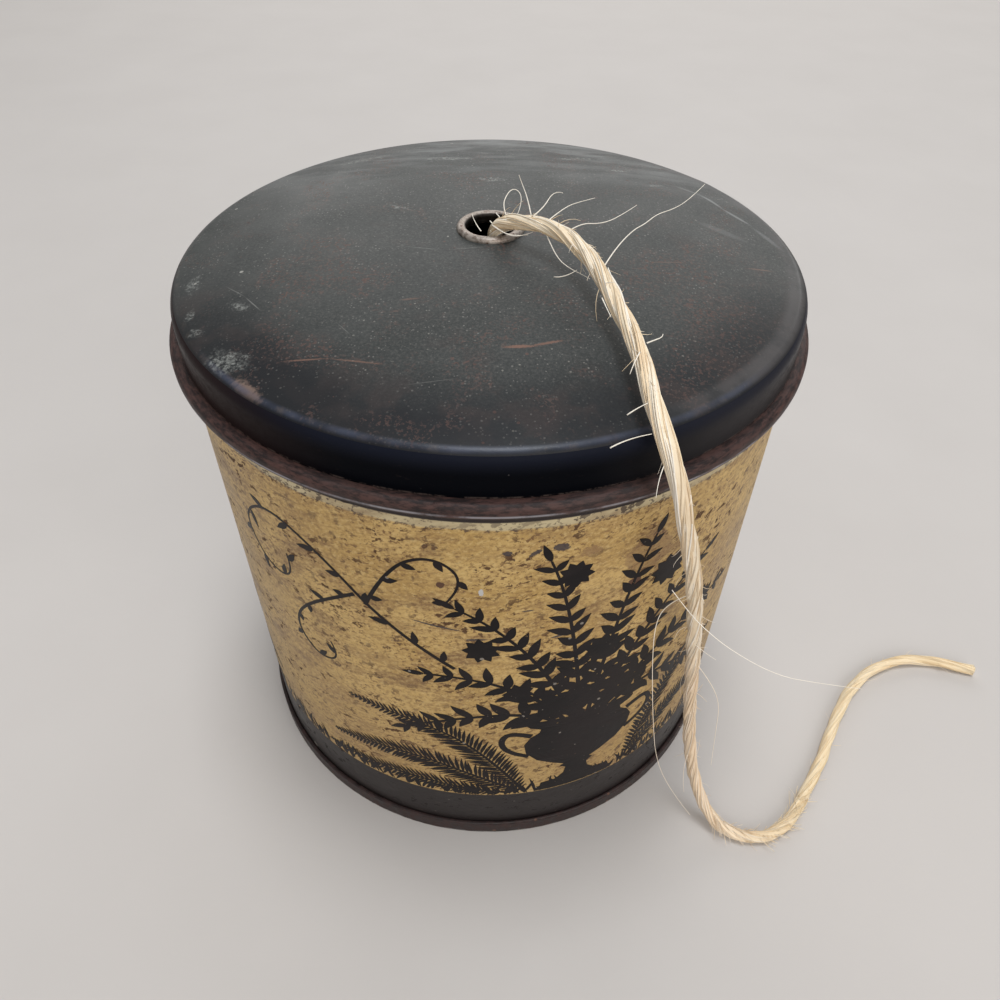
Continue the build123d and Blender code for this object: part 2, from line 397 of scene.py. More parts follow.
for pixels, first, last in lid_fibres:
    add_fibre(along_heights(pixels, first, last), long_fibre_radius, chance.uniform(0.85, 1.3))
for pixels, nearer in hanging_fibres:
    add_fibre(along_depths(pixels, nearer), 0.8 * long_fibre_radius, chance.uniform(0.7, 1.2))
print("fibres beside the hanging twine:", len(hanging_fibres))

# %% Short fibres strewn along the twine
lid_low, lid_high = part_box("lid_cap")
wall_low, wall_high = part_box("body_wall")
short_fibres = 180
shortest, longest = 1.2 * MM, 6.5 * MM
short_fibre_radius = 0.05 * MM
clear_radius = wall_high.x + 0.6 * MM
clear_height = lid_high.z + 0.5 * MM
short_above_floor = 0.2 * MM
path_ways = ways_along(twine_path)
path_sides, path_ups = frames_along(twine_path)
root_to_tip = np.linspace(0.0, 1.0, 5)[:, None]


def in_the_tin(place):
    """Whether a place is inside the tin or just over its lid."""
    return math.hypot(place[0], place[1]) < clear_radius and place[2] < clear_height


def spot_on_twine(spots, share_out):
    """A spot on the twine left to chance: its place, and the ways along, out and round."""
    k = chance.choice(spots)
    angle = chance.uniform(0, 2 * math.pi)
    out = path_sides[k] * math.cos(angle) + path_ups[k] * math.sin(angle)
    return twine_path[k] + out * twine_radius * share_out, path_ways[k], out, np.cross(path_ways[k], out)


def add_short_fibre(places, radius, tip, thickest):
    """A short fibre of about a radius, thinning to a share of it at the tip."""
    thinning = np.linspace(1.0, tip, len(places)) * chance.uniform(0.7, thickest)
    stray.add(places, radius * thinning, chance.random(), sides=4)


outside = [k for k, place in enumerate(twine_path) if not in_the_tin(place)]
strewn = 0
while strewn < short_fibres:
    root, way, out, over = spot_on_twine(outside, 0.8)
    length = shortest + (longest - shortest) * chance.random() ** 2.2
    lean = chance.uniform(0.3, 2.2)
    curl = chance.uniform(-0.5, 0.5)
    places = root + length * (out * (0.7 * root_to_tip - 0.3 * root_to_tip ** 2)
                              + way * 0.5 * lean * root_to_tip + over * curl * root_to_tip ** 2)
    if not any(in_the_tin(place) or place[2] < short_above_floor for place in places):
        add_short_fibre(places, short_fibre_radius, tip=0.4, thickest=1.4)
        strewn += 1
print("short fibres:", strewn)

# %% Fibres that fray where the twine turns on the floor
frayed_fibres = 120
frayed_reach = 15 * MM
frayed_fibre_radius = 0.075 * MM
frayed_above_floor = 0.15 * MM
turning = seen_at_height(768, 838, 1.6 * MM)
turn_places = [k for k, place in enumerate(twine_path) if math.dist(place, turning) < frayed_reach]
frayed = 0
while frayed < frayed_fibres:
    root, way, out, over = spot_on_twine(turn_places, 0.86)
    length = chance.uniform(1.6, 4.2) * MM
    lean = chance.uniform(0.35, 0.85)
    places = root + length * (out * (0.22 * root_to_tip - 0.10 * root_to_tip ** 2)
                              + way * 0.75 * root_to_tip + over * lean * root_to_tip)
    if min(place[2] for place in places) >= frayed_above_floor:
        add_short_fibre(places, frayed_fibre_radius, tip=0.5, thickest=1.3)
        frayed += 1
fibres = stray.build("stray_fibres")
print("stray fibres:", len(fibres.data.polygons), "faces")

# %% [markdown]
# ## The twine in place
# The lid lifts straight up. Here the twine and its stray fibres are only baked into world
# coordinates, and the construction's own twine is hidden.

# %% Twine baked in place
for piece in (twine, fibres):
    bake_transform(piece)
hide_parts("twine")

# %% [markdown]
# ## Turned sheet metal
# The wall, lid and ball's core are all round, so each is one profile carried round the axis. A
# circle is extruded from ring to ring along the profile and resized on the way, down one skin of
# the sheet and back up the other, until it meets itself. That gives a closed shell with the
# sheet's real thickness, whose bends can be as fine as they need to be.


# %% A circle extruded along a profile
round_steps = 240
same_point = 0.002 * MM
sharpest_smooth = 40


def turn_profile(name, profile, steps):
    """Closed shell whose section is a closed profile of (radius, height)."""
    bpy.ops.object.select_all(action="DESELECT")
    bpy.ops.mesh.primitive_circle_add(vertices=steps, radius=profile[0][0])
    obj = bpy.context.object
    obj.name = name
    obj.data.name = name
    bpy.ops.object.mode_set(mode="EDIT")
    bpy.ops.transform.translate(value=(0, 0, profile[0][1]))
    for (radius, height), (next_radius, next_height) in zip(profile, profile[1:] + profile[:1]):
        bpy.ops.mesh.extrude_region_move(TRANSFORM_OT_translate={"value": (0, 0, next_height - height)})
        growth = next_radius / radius
        bpy.ops.transform.resize(value=(growth, growth, 1), center_override=(0, 0, next_height))
    bpy.ops.mesh.select_all(action="SELECT")
    bpy.ops.mesh.remove_doubles(threshold=same_point)
    bpy.ops.mesh.normals_make_consistent(inside=False)
    bpy.ops.object.mode_set(mode="OBJECT")
    bpy.ops.object.shade_smooth_by_angle(angle=math.radians(sharpest_smooth))
    return obj


def bend(centre, radius, first, last, steps):
    """Points of a bend in a profile, round a centre from one angle to another, in degrees."""
    angles = [math.radians(first + (last - first) * k / steps) for k in range(steps + 1)]
    return [(centre[0] + radius * math.cos(a), centre[1] + radius * math.sin(a)) for a in angles]


def both_skins(line, thickness):
    """Closed profile of a sheet from the line of its outer skin: out along it and back inside it."""
    points = [Vector(point) for point in line]
    inner = []
    for k, point in enumerate(points):
        way = (points[min(k + 1, len(points) - 1)] - points[max(k - 1, 0)]).normalized()
        inner.append(point + Vector((way.y, -way.x)) * thickness)
    return [tuple(p) for p in points + inner[::-1]]


# %% [markdown]
# ## The lid
# The lid is drawn from one disc: level round the eyelet, then falling in a slow dome to a tight
# shoulder and a plain skirt with a raw edge. Handling has pushed two soft creases into the dome
# at the back right and flattened it a little here and there. Such dents are pressed in with
# proportional editing, which moves both skins of the sheet together.

# %% Lid shell
lid_sheet = 0.35 * MM
lid_radius = lid_high.x
lid_top = lid_high.z
eyelet_hole = 5.0 * MM
level_radius = 15.7 * MM
dome_bend = 180 * MM
dome_slope = 12.84
shoulder_bend = 2.6 * MM

dome = bend((level_radius, lid_top - dome_bend), dome_bend, 90, 90 - dome_slope, 14)
slope = math.radians(dome_slope)
shoulder_x = lid_radius - shoulder_bend
slope_end_x = shoulder_x + shoulder_bend * math.sin(slope)
slope_end_z = dome[-1][1] - (slope_end_x - dome[-1][0]) * math.tan(slope)
shoulder_z = slope_end_z - shoulder_bend * math.cos(slope)
shoulder = bend((shoulder_x, shoulder_z), shoulder_bend, 90 - dome_slope, 0, 9)
level = [(eyelet_hole + (level_radius - eyelet_hole) * k / 4, lid_top) for k in range(4)]
skirt = [(lid_radius, shoulder_z + (lid_low.z - shoulder_z) * k / 5) for k in range(1, 6)]
lid = turn_profile("lid_shell", both_skins(level + dome + shoulder + skirt, lid_sheet), steps=round_steps)
print("lid shell:", len(lid.data.polygons), "faces, shoulder at", round(shoulder_z, 4))


# %% Dents in the lid
def press(obj, places, depth, reach):
    """Push the sheet down along a line of places, fading out over a reach."""
    bpy.context.view_layer.objects.active = obj
    for place in places:
        bpy.ops.object.mode_set(mode="EDIT")
        bpy.ops.mesh.select_all(action="DESELECT")
        bpy.ops.object.mode_set(mode="OBJECT")
        nearest = min(obj.data.vertices, key=lambda vertex: (vertex.co - place).length)
        nearest.select = True
        bpy.ops.object.mode_set(mode="EDIT")
        bpy.ops.transform.translate(value=(0, 0, -depth), use_proportional_edit=True,
                                    proportional_edit_falloff="SMOOTH", proportional_size=reach)
        bpy.ops.object.mode_set(mode="OBJECT")


def on_dome(x, y):
    """Place on top of the lid above a point of the plan, given in millimetres."""
    beyond = max(0.0, math.hypot(x, y) * MM - level_radius)
    return Vector((x * MM, y * MM, lid_top - dome_bend + math.sqrt(dome_bend ** 2 - beyond ** 2)))


def seen_on_lid(x, y):
    """Place on the dome of the lid that a pixel shows, found in a few steps from the top down."""
    place = seen_at_height(x, y, lid_top)
    for step in range(5):
        place = seen_at_height(x, y, on_dome(place.x / MM, place.y / MM).z)
    return place


# Places in the plan, depth and reach, in millimetres. A depth below zero is a ridge
creases = [
    ([(17, 41), (24, 37), (31, 33), (38, 29), (44, 26)], 0.30, 7),
    ([(27, 44), (34, 40), (41, 35), (46, 31)], -0.16, 5),
    ([(30, 27), (36, 23), (43, 20)], -0.12, 6),
    ([(44, 8), (47, 14)], 0.12, 12),
    ([(-8, 40), (2, 44)], 0.12, 13),
    ([(-38, -8)], 0.16, 17),
    ([(-30, -40)], 0.12, 12),
]
for spots, depth, reach in creases:
    press(lid, [on_dome(x, y) for x, y in spots], depth * MM, reach * MM)
print("creases pressed:", len(creases))

# %% [markdown]
# ## The body wall
# The wall is one rolled sheet. Its foot is hooked into the base seam, and near the top it swells
# into the bead that stops the lid. Above the bead it goes on as the neck, whose mouth is curled
# inwards so that no raw edge cuts the hand. Lid and neck are a slip fit.

# %% Body wall shell
wall_sheet = 0.30 * MM
wall_radius = 59.0 * MM
bead_radius = wall_high.x
wall_foot = wall_low.z
wall_mouth = wall_high.z
bead_low = 105.6 * MM
ledge = 110.3 * MM
bead_round = 1.1 * MM
bead_swell = 45
bead_lower_bend = 108.44 * MM
root_bend = 0.25 * MM
lip_bend = 0.6 * MM
neck_low = ledge + 1.2 * MM
neck_run = wall_mouth - ledge - 2.2 * MM

straight = [(wall_radius, wall_foot + (bead_low - wall_foot) * k / 24) for k in range(25)]
bead_under = bend((bead_radius - bead_round, bead_lower_bend), bead_round, -bead_swell, 0, 6)
bead_over = bend((bead_radius - bead_round, ledge - bead_round), bead_round, 0, 90, 8)
step_in = bend((wall_radius + root_bend, ledge + root_bend), root_bend, 270, 180, 4)
neck = [(wall_radius, neck_low + neck_run * k / 3) for k in range(4)]
lip = bend((wall_radius - lip_bend, wall_mouth - lip_bend), lip_bend, 0, 260, 14)
wall_line = straight + bead_under + bead_over + step_in + neck + lip
wall = turn_profile("printed_wall", both_skins(wall_line[::-1], wall_sheet), steps=round_steps)
print("printed wall:", len(wall.data.polygons), "faces")

# %% [markdown]
# ## A helper for finishes
# Old printed tin owes its look to many small layers: lacquer, dust, rust, chips, scratches. Each
# layer is a mask and a colour. A small class keeps the node work short, so that the cells that
# follow can be read as a list of those layers. All patterns are read from Object coordinates in
# metres, so their scale is true and they stay put when the lid moves.


# %% Finish: a material built in layers
class Finish:
    """A procedural material. Masks are sockets that run from 0 to 1, colours are laid one by one."""

    nodes_in_row, node_across, node_down = 9, 200, 220
    smallest_speck = 0.35
    edge_lumps = 0.6
    mark_core = 0.35

    def __init__(self, name, roughness=0.5, metallic=0.0, specular=0.5):
        self.material = bpy.data.materials.new(name)
        self.material.use_nodes = True
        self.tree = self.material.node_tree
        self.shader = self.tree.nodes["Principled BSDF"]
        self.shader.inputs["Roughness"].default_value = roughness
        self.shader.inputs["Metallic"].default_value = metallic
        self.shader.inputs["Specular IOR Level"].default_value = specular
        self.place = self.add("ShaderNodeTexCoord").outputs["Object"]
        self.x, self.y, self.z = self.add("ShaderNodeSeparateXYZ", {0: self.place}).outputs
        self.colour = None
        self.height = None

    def feed(self, socket, value):
        """Give a socket the output of another node, or a plain number or colour."""
        if isinstance(value, bpy.types.NodeSocket):
            self.tree.links.new(value, socket)
        elif socket.type == "RGBA":
            socket.default_value = (*value, 1.0)
        else:
            socket.default_value = value

    def add(self, kind, inputs=None, **settings):
        """A node with its settings and inputs, placed in rows."""
        node = self.tree.nodes.new(kind)
        row, column = divmod(len(self.tree.nodes), self.nodes_in_row)
        node.location = (-self.node_across * (column + 1), self.node_down * row)
        for key, value in settings.items():
            setattr(node, key, value)
        for key, value in (inputs or {}).items():
            self.feed(node.inputs[key], value)
        return node

    def math(self, operation, first, second=0.0):
        """One sum on values or masks."""
        return self.add("ShaderNodeMath", {0: first, 1: second}, operation=operation).outputs[0]

    def both(self, first, *others):
        """Where all of the masks are."""
        for other in others:
            first = self.math("MULTIPLY", first, other)
        return first

    def either(self, first, *others):
        """Where one or another of the masks is."""
        for other in others:
            first = self.math("MAXIMUM", first, other)
        return first

    def ease(self, value, low, high, to_low=0.0, to_high=1.0):
        """A value eased from one range into another."""
        inputs = {"Value": value, "From Min": low, "From Max": high, "To Min": to_low, "To Max": to_high}
        return self.add("ShaderNodeMapRange", inputs, interpolation_type="SMOOTHSTEP").outputs[0]

    def between(self, value, low, high, soft):
        """Mask of the values between two limits, with soft ends."""
        above = self.ease(value, low - soft, low + soft)
        return self.both(above, self.ease(value, high + soft, high - soft))

    def from_axis(self):
        """Distance from the tin's axis."""
        square = self.math("ADD", self.both(self.x, self.x), self.both(self.y, self.y))
        return self.math("SQRT", square)

    def turn_round_z(self, vector, degrees):
        """Coordinates turned so that a line at an angle lies along the first of them."""
        inputs = {"Vector": vector, "Angle": -math.radians(degrees)}
        return self.add("ShaderNodeVectorRotate", inputs, rotation_type="Z_AXIS").outputs[0]

    def stretched(self, scale, place=None, turn=0.0):
        """Coordinates drawn out by a scale for each axis, along lines at an angle in degrees."""
        inputs = {"Vector": self.turn_round_z(place or self.place, turn), "Scale": scale}
        return self.add("ShaderNodeMapping", inputs).outputs[0]

    def noise(self, size, detail=3.0, rough=0.55, place=None, warp=0.0):
        """Cloudy noise with lumps of a size in millimetres."""
        inputs = {"Vector": place or self.place, "Scale": 1 / (size * MM), "Detail": detail,
                  "Roughness": rough, "Distortion": warp}
        return self.add("ShaderNodeTexNoise", inputs).outputs["Fac"]

    def patches(self, size, low, high, weak=0.0, strong=1.0, **kind):
        """Mask of the patches of a noise between two of its values."""
        return self.ease(self.noise(size, **kind), low, high, weak, strong)

    def specks(self, spacing, size, share, place=None):
        """Mask of specks of a size in millimetres. The share of cells that hold one may be a mask."""
        inputs = {"Vector": place or self.place, "Scale": 1 / (spacing * MM), "Randomness": 1.0}
        cells = self.add("ShaderNodeTexVoronoi", inputs)
        pick = self.add("ShaderNodeSeparateColor", {0: cells.outputs["Color"]})
        reach = self.both(self.ease(pick.outputs[1], 0.0, 1.0, self.smallest_speck, 1.0), size / spacing)
        near = self.math("LESS_THAN", cells.outputs["Distance"], reach)
        return self.both(near, self.math("LESS_THAN", pick.outputs[0], share))

    def mark(self, centre, half, turn, ragged, place=None):
        """Mask of one oval mark at a place, with half-sizes in millimetres and an angle in degrees."""
        inputs = {0: place or self.place, 1: centre}
        shift = self.add("ShaderNodeVectorMath", inputs, operation="SUBTRACT").outputs[0]
        inputs = {0: self.turn_round_z(shift, turn), 1: [1 / (v * MM) for v in half]}
        scaled = self.add("ShaderNodeVectorMath", inputs, operation="MULTIPLY").outputs[0]
        far = self.add("ShaderNodeVectorMath", {0: scaled}, operation="LENGTH").outputs["Value"]
        rough_edge = self.math("SUBTRACT", self.noise(min(half[:2]) * self.edge_lumps, detail=4.0), 0.5)
        return self.ease(self.math("ADD", far, self.both(rough_edge, ragged)), 1.0, self.mark_core)

    def blend(self, share, first, second):
        """The second colour laid over the first by a mask. The node has its colours at 6 and 7."""
        return self.add("ShaderNodeMix", {0: share, 6: first, 7: second}, data_type="RGBA").outputs[2]

    def start(self, share, first, second):
        """The ground: two tones blended by a mask."""
        self.colour = self.blend(share, first, second)

    def lay(self, tone, *masks):
        """Lay a tone over the colour so far, where all of the masks are."""
        self.colour = self.blend(self.both(*masks), self.colour, tone)

    def wash(self, tone, value, low, high, strength=1.0):
        """Lay a tone where a value passes from one limit to another, up to a strength."""
        self.lay(tone, self.ease(value, low, high, 0.0, strength))

    def raise_by(self, value, depth):
        """Add a layer to the relief, with its depth in millimetres."""
        layer = self.both(value, depth * MM)
        self.height = layer if self.height is None else self.math("ADD", self.height, layer)

    def finish(self, roughness=None):
        """Join colour, roughness and relief to the shader."""
        self.feed(self.shader.inputs["Base Color"], self.colour)
        if roughness is not None:
            self.feed(self.shader.inputs["Roughness"], roughness)
        if self.height is not None:
            bump = self.add("ShaderNodeBump", {"Height": self.height, "Distance": 1.0, "Strength": 1.0})
            self.feed(self.shader.inputs["Normal"], bump.outputs[0])
        return self.material


def dress(obj, *materials):
    """Give an object its materials in place of any that it has."""
    obj.data.materials.clear()
    for material in materials:
        obj.data.materials.append(material)


# %% [markdown]
# ## Lid lacquer
# The lid is dipped in black lacquer, now dull and faintly green, under dust that has settled in
# specks. Rust comes through as red-brown pinpricks in loose clusters and as long scratches. The
# back is hazy, partly with dust and partly with a painted reflection, and the left a little dusty;
# the left edge has pale mineral patches and a rubbed brown spot. The front is painted darker, as
# shade, falling away to a shoulder that hands have worn and that carries a painted cool highlight.
# The creases carry painted highlights, and the top of the skirt a painted dim glow. The skirt,
# which nothing lies on, takes a second material, because it hardly mirrors the room.

# %% Lid lacquer in layers
# Tones are linear red, green and blue. Marks are in millimetres and reach right through the lid
# The near-black of the painted shade on the lid's front
painted_shade_tone = (0.0070, 0.0078, 0.0105)
through_lid = 60

lacquer = Finish("worn_lid_lacquer", roughness=0.5, specular=0.26)
from_axis = lacquer.from_axis()
cloud = lacquer.noise(24, detail=5.0, rough=0.6)
drift = lacquer.noise(7, detail=4.0)
grain = lacquer.noise(0.45, detail=3.0, rough=0.75)
lacquer.start(lacquer.ease(cloud, 0.38, 0.62), (0.034, 0.038, 0.037), (0.047, 0.051, 0.050))
lacquer.wash((0.052, 0.044, 0.042), drift, 0.55, 0.72, 0.45)
lacquer.wash((0.105, 0.103, 0.097), grain, 0.51, 0.63, 0.42)
lacquer.wash((0.017, 0.018, 0.019), grain, 0.48, 0.38, 0.45)

dusty_left = lacquer.ease(lacquer.x, -8 * MM, -40 * MM, 0.0, 0.40)
lacquer.lay((0.072, 0.076, 0.074), dusty_left, lacquer.ease(drift, 0.30, 0.62))
# Painted shade: the front of the dome darkens towards the shoulder
near_front = lacquer.ease(lacquer.y, -4 * MM, -34 * MM)
falling = lacquer.ease(from_axis, 40 * MM, 53 * MM)
painted_front_shade_tone = lacquer.blend(lacquer.ease(drift, 0.46, 0.60), painted_shade_tone, (0.0225, 0.0155, 0.0160))
lacquer.lay(painted_front_shade_tone, near_front, falling, 0.80)


def oval_on_lid(pixel, half, turn, ragged):
    """Mask of an oval on the lid at the place that a pixel shows, with half-sizes in millimetres."""
    return lacquer.mark(seen_on_lid(*pixel), (*half, through_lid), turn, ragged)


# Patches of painted shade on the front of the lid: pixel, half-sizes, angle and strength
painted_front_shades = [((292, 392), (17, 8), -38, 0.75), ((258, 352), (9, 7), -60, 0.45),
                ((420, 430), (17, 5), -8, 0.85), ((600, 432), (12, 5), 12, 0.35)]
for pixel, half, turn, share in painted_front_shades:
    lacquer.lay(painted_shade_tone, oval_on_lid(pixel, half, turn, ragged=1.0), share)
print("lid lacquer:", len(painted_front_shades), "dark patches")

# %% Haze, partly painted reflection, and pale patches on the lid
# Lighter towards the back: partly settled dust, partly a painted reflection of the room behind
streaks = lacquer.stretched((0.45, 1.6, 1.0))
at_back = lacquer.ease(lacquer.y, 12 * MM, 54 * MM, 0.0, 0.90)
lacquer.lay((0.172, 0.179, 0.177), lacquer.patches(9, 0.40, 0.64, detail=6.0, rough=0.65, place=streaks),
            at_back)

pale_patches = [
    ((226, 362), (5.2, 3.0), -30), ((196, 333), (1.5, 1.5), -12), ((193, 286), (1.5, 3.4), 4),
    ((190, 316), (1.0, 1.8), 0), ((212, 378), (2.0, 1.0), -42), ((238, 306), (2.6, 1.2), -34),
    ((477, 334), (0.6, 0.55), 0), ((618, 170), (3.4, 1.0), 22), ((655, 186), (2.4, 0.9), 30),
    ((446, 158), (6.0, 2.2), 0), ((364, 160), (6.5, 2.0), 24), ((492, 179), (4.0, 1.2), -2),
    ((398, 207), (2.0, 0.8), -20), ((574, 158), (5.0, 1.6), 16),
]
pale = lacquer.either(*[oval_on_lid(*patch, ragged=1.9) for patch in pale_patches])
crusty = lacquer.patches(0.7, 0.40, 0.68, detail=4.0, rough=0.75)
lacquer.lay((0.27, 0.28, 0.265), pale, crusty, 0.85)
rubbed = oval_on_lid((246, 390), (4.8, 1.5), -46, ragged=1.6)
lacquer.lay((0.20, 0.138, 0.112), rubbed, 0.85)
print("pale patches:", len(pale_patches))

# %% Dust and rust on the lid
dust = lacquer.specks(1.3, 0.20, 0.30)
fine_dust = lacquer.specks(0.60, 0.18, 0.50)
crumbs = lacquer.specks(9.0, 0.42, 0.26)
settled = lacquer.patches(11, 0.40, 0.62, 0.35, 1.0)
settled = lacquer.both(settled, lacquer.ease(lacquer.both(near_front, falling), 0.0, 1.0, 1.0, 0.40))
lacquer.lay((0.190, 0.184, 0.172), fine_dust, settled, 0.72)
lacquer.lay((0.27, 0.26, 0.235), dust, settled, 0.74)
lacquer.lay((0.38, 0.37, 0.34), crumbs, 0.8)

rust_beds = [
    ((672, 268), (13, 9), -20), ((716, 322), (11, 13), 40), ((358, 276), (10, 5), 8),
    ((326, 272), (6, 9), -30), ((300, 350), (12, 5), -20), ((690, 372), (14, 5), 30),
    ((556, 300), (6, 5), 0),
]
beds = [oval_on_lid(*bed, ragged=1.2) for bed in rust_beds]
clusters = lacquer.either(lacquer.patches(10, 0.50, 0.64, detail=4.0, rough=0.6), *beds)
bitten = lacquer.patches(0.62, 0.535, 0.585, detail=4.0, rough=0.65)
rust = lacquer.either(lacquer.both(bitten, clusters), lacquer.specks(1.7, 0.30, 0.14))
rust_tone = lacquer.blend(grain, (0.070, 0.036, 0.031), (0.190, 0.115, 0.096))
lacquer.lay(rust_tone, rust, lacquer.ease(falling, 0.0, 1.0, 0.66, 0.40))
print("rust beds:", len(rust_beds))


# %% Scratches and painted crease highlights on the lid
def line_on_lid(first, last, half_wide, ragged):
    """Mask of a thin line on the lid between the places that two pixels show."""
    start, end = seen_on_lid(*first), seen_on_lid(*last)
    way = end - start
    half = (way.length / 2 / MM + half_wide, half_wide, through_lid)
    return lacquer.mark((start + end) / 2, half, math.degrees(math.atan2(way.y, way.x)), ragged)


# Each has the pixels of its ends, its half width in millimetres and its strength
rust_scratches = [
    ((501, 347), (538, 346), 0.50, 0.9), ((530, 346), (566, 340), 0.40, 0.8),
    ((280, 361), (330, 358), 0.26, 0.7), ((325, 358), (388, 365), 0.24, 0.6),
    ((640, 262), (690, 263), 0.22, 0.4), ((744, 268), (776, 272), 0.3, 0.5),
    ((400, 300), (420, 298), 0.4, 0.4),
]
hairlines = [
    ((400, 246), (445, 250), 0.12, 0.5), ((445, 250), (492, 246), 0.12, 0.4),
    ((384, 203), (418, 212), 0.16, 0.5), ((244, 296), (262, 312), 0.15, 0.6),
    ((225, 286), (246, 297), 0.14, 0.4), ((398, 386), (462, 378), 0.10, 0.3),
    ((336, 322), (352, 336), 0.10, 0.4), ((545, 190), (566, 196), 0.16, 0.3),
]
# Painted highlights along the creases at the back right
painted_crease_highlights = [
    ((676, 185), (700, 194), 0.7, 0.55), ((696, 192), (724, 209), 0.6, 0.85),
    ((720, 207), (752, 226), 0.6, 0.8), ((752, 227), (784, 252), 0.9, 0.4),
    ((700, 222), (742, 240), 1.6, 0.22),
]
line_kinds = [(rust_scratches, 1.2, (0.20, 0.110, 0.082)), (hairlines, 0.5, (0.22, 0.22, 0.21)),
              (painted_crease_highlights, 0.3, (0.20, 0.205, 0.205))]
for lines, ragged, tone in line_kinds:
    for first, last, half_wide, share in lines:
        lacquer.lay(tone, line_on_lid(first, last, half_wide, ragged), share)
    print("lines on the lid:", len(lines))

# %% Shoulder of the lid
# A painted cool highlight along the front shoulder, broken up in patches
on_shoulder = lacquer.between(from_axis, 57.5 * MM, 58.5 * MM, 0.4 * MM)
facing_front = lacquer.ease(lacquer.y, -30 * MM, -44 * MM)
painted_cool_highlight = lacquer.both(lacquer.patches(12, 0.40, 0.60, 0.35, 1.0), facing_front)
lacquer.lay((0.070, 0.084, 0.132), on_shoulder, painted_cool_highlight, 0.60)
worn = lacquer.patches(3.4, 0.52, 0.68, detail=6.0, rough=0.7)
lacquer.lay((0.15, 0.12, 0.10), lacquer.both(on_shoulder, worn), 0.30)
# Lighter grey along the right edge: partly dust, partly a painted highlight
right_edge = lacquer.both(lacquer.between(from_axis, 55.5 * MM, 60 * MM, 0.8 * MM),
                          lacquer.ease(lacquer.x, 14 * MM, 44 * MM))
lacquer.lay((0.075, 0.071, 0.072), right_edge, lacquer.ease(drift, 0.35, 0.60, 0.25, 0.75))
# Painted shade on the lower shoulder, where it turns down towards the skirt
lacquer.wash((0.0045, 0.0048, 0.0070), lacquer.z, shoulder_z + 2.4 * MM, shoulder_z + 1.6 * MM)

lacquer.raise_by(drift, 0.06)
lacquer.raise_by(grain, 0.012)
lacquer.raise_by(lacquer.either(dust, crumbs), 0.03)
gloss = lacquer.ease(cloud, 0.3, 0.7, 0.46, 0.58)
gloss = lacquer.math("SUBTRACT", gloss, lacquer.both(on_shoulder, 0.16))
gloss = lacquer.either(gloss, lacquer.both(lacquer.either(dust, rust), 0.7))
top_lacquer = lacquer.finish(gloss)
print("lacquer nodes:", len(lacquer.tree.nodes))

# %% Skirt and raw edge of the lid
gloss_black = Finish("glossy_skirt", roughness=0.36, specular=0.02)
to_left = gloss_black.ease(gloss_black.x, -20 * MM, -50 * MM)
to_right = gloss_black.ease(gloss_black.x, 12 * MM, 48 * MM)
gloss_black.start(to_left, (0.0022, 0.0026, 0.0042), (0.0215, 0.0130, 0.0125))
gloss_black.lay((0.0400, 0.0370, 0.0385), to_right)
# A painted reflection: a dim navy glow at the top of the skirt, under the shoulder's highlight
under_shoulder = gloss_black.ease(gloss_black.z, shoulder_z - 1.8 * MM, shoulder_z + 1.7 * MM)
gloss_black.lay((0.0130, 0.0150, 0.0250), under_shoulder, gloss_black.ease(to_left, 0.0, 1.0, 0.70, 0.10))
rubs = gloss_black.noise(2.2, detail=6.0, rough=0.72, place=gloss_black.stretched((1.0, 1.0, 2.2)))
gloss_black.wash((0.045, 0.034, 0.032), rubs, 0.60, 0.75, 0.25)
gloss_black.lay((0.09, 0.085, 0.085), gloss_black.specks(1.8, 0.14, 0.22), 0.5)
at_edge = gloss_black.ease(gloss_black.z, lid_low.z + 0.40 * MM, lid_low.z + 0.14 * MM)
broken = gloss_black.patches(1.2, 0.44, 0.60, detail=5.0, rough=0.7)
gloss_black.lay((0.115, 0.085, 0.075), at_edge, broken, 0.6)
gloss_black.raise_by(rubs, 0.03)
dress(lid, top_lacquer, gloss_black.finish(gloss_black.ease(rubs, 0.4, 0.7, 0.30, 0.45)))
print("skirt nodes:", len(gloss_black.tree.nodes))

# %% [markdown]
# ## Bare tinplate
# The inside of the tin and of the lid was never printed. It is plain tinplate, grey and faintly
# crystalline, gone dull with brown spots. Inner faces get this material by their normal.

# %% Bare tinplate on the inner faces
tinplate = Finish("bare_tinplate", roughness=0.38, metallic=1.0)
tarnish = tinplate.patches(8, 0.50, 0.70, detail=6.0, rough=0.68)
tinplate.start(tinplate.noise(5, detail=2.0, warp=1.5), (0.42, 0.41, 0.39), (0.56, 0.55, 0.52))
tinplate.lay((0.30, 0.22, 0.15), tarnish, 0.6)
tinplate.lay((0.10, 0.05, 0.03), tinplate.specks(2.2, 0.4, tinplate.ease(tarnish, 0.0, 1.0, 0.12, 0.6)))
tinplate.raise_by(tinplate.noise(1.2), 0.02)
bare = tinplate.finish(tinplate.ease(tarnish, 0.0, 1.0, 0.32, 0.62))


skirt_slot, lid_bare_slot, wall_bare_slot = 1, 2, 1
facing_inwards = -1e-4
facing_down = -0.3


def coat(obj, slot, belongs):
    """Put one of an object's materials on the faces that belong to it."""
    faces = [face for face in obj.data.polygons if belongs(face)]
    for face in faces:
        face.material_index = slot
    return len(faces)


def faces_axis(face):
    """Whether a face looks inwards."""
    return face.normal.dot(Vector((face.center.x, face.center.y, 0.0))) < facing_inwards


def inside_lid(face):
    """Whether a face of the lid looks inwards or down at the tin."""
    return face.normal.z < facing_down or faces_axis(face)


def on_skirt(face):
    """Whether a face belongs to the skirt or to the lower half of the shoulder."""
    return face.center.z < shoulder_z + 1.75 * MM


lid.data.materials.append(bare)
print("skirt faces:", coat(lid, skirt_slot, on_skirt))
print("bare faces in the lid:", coat(lid, lid_bare_slot, inside_lid))
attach(lid, "lid")
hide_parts("lid_cap")
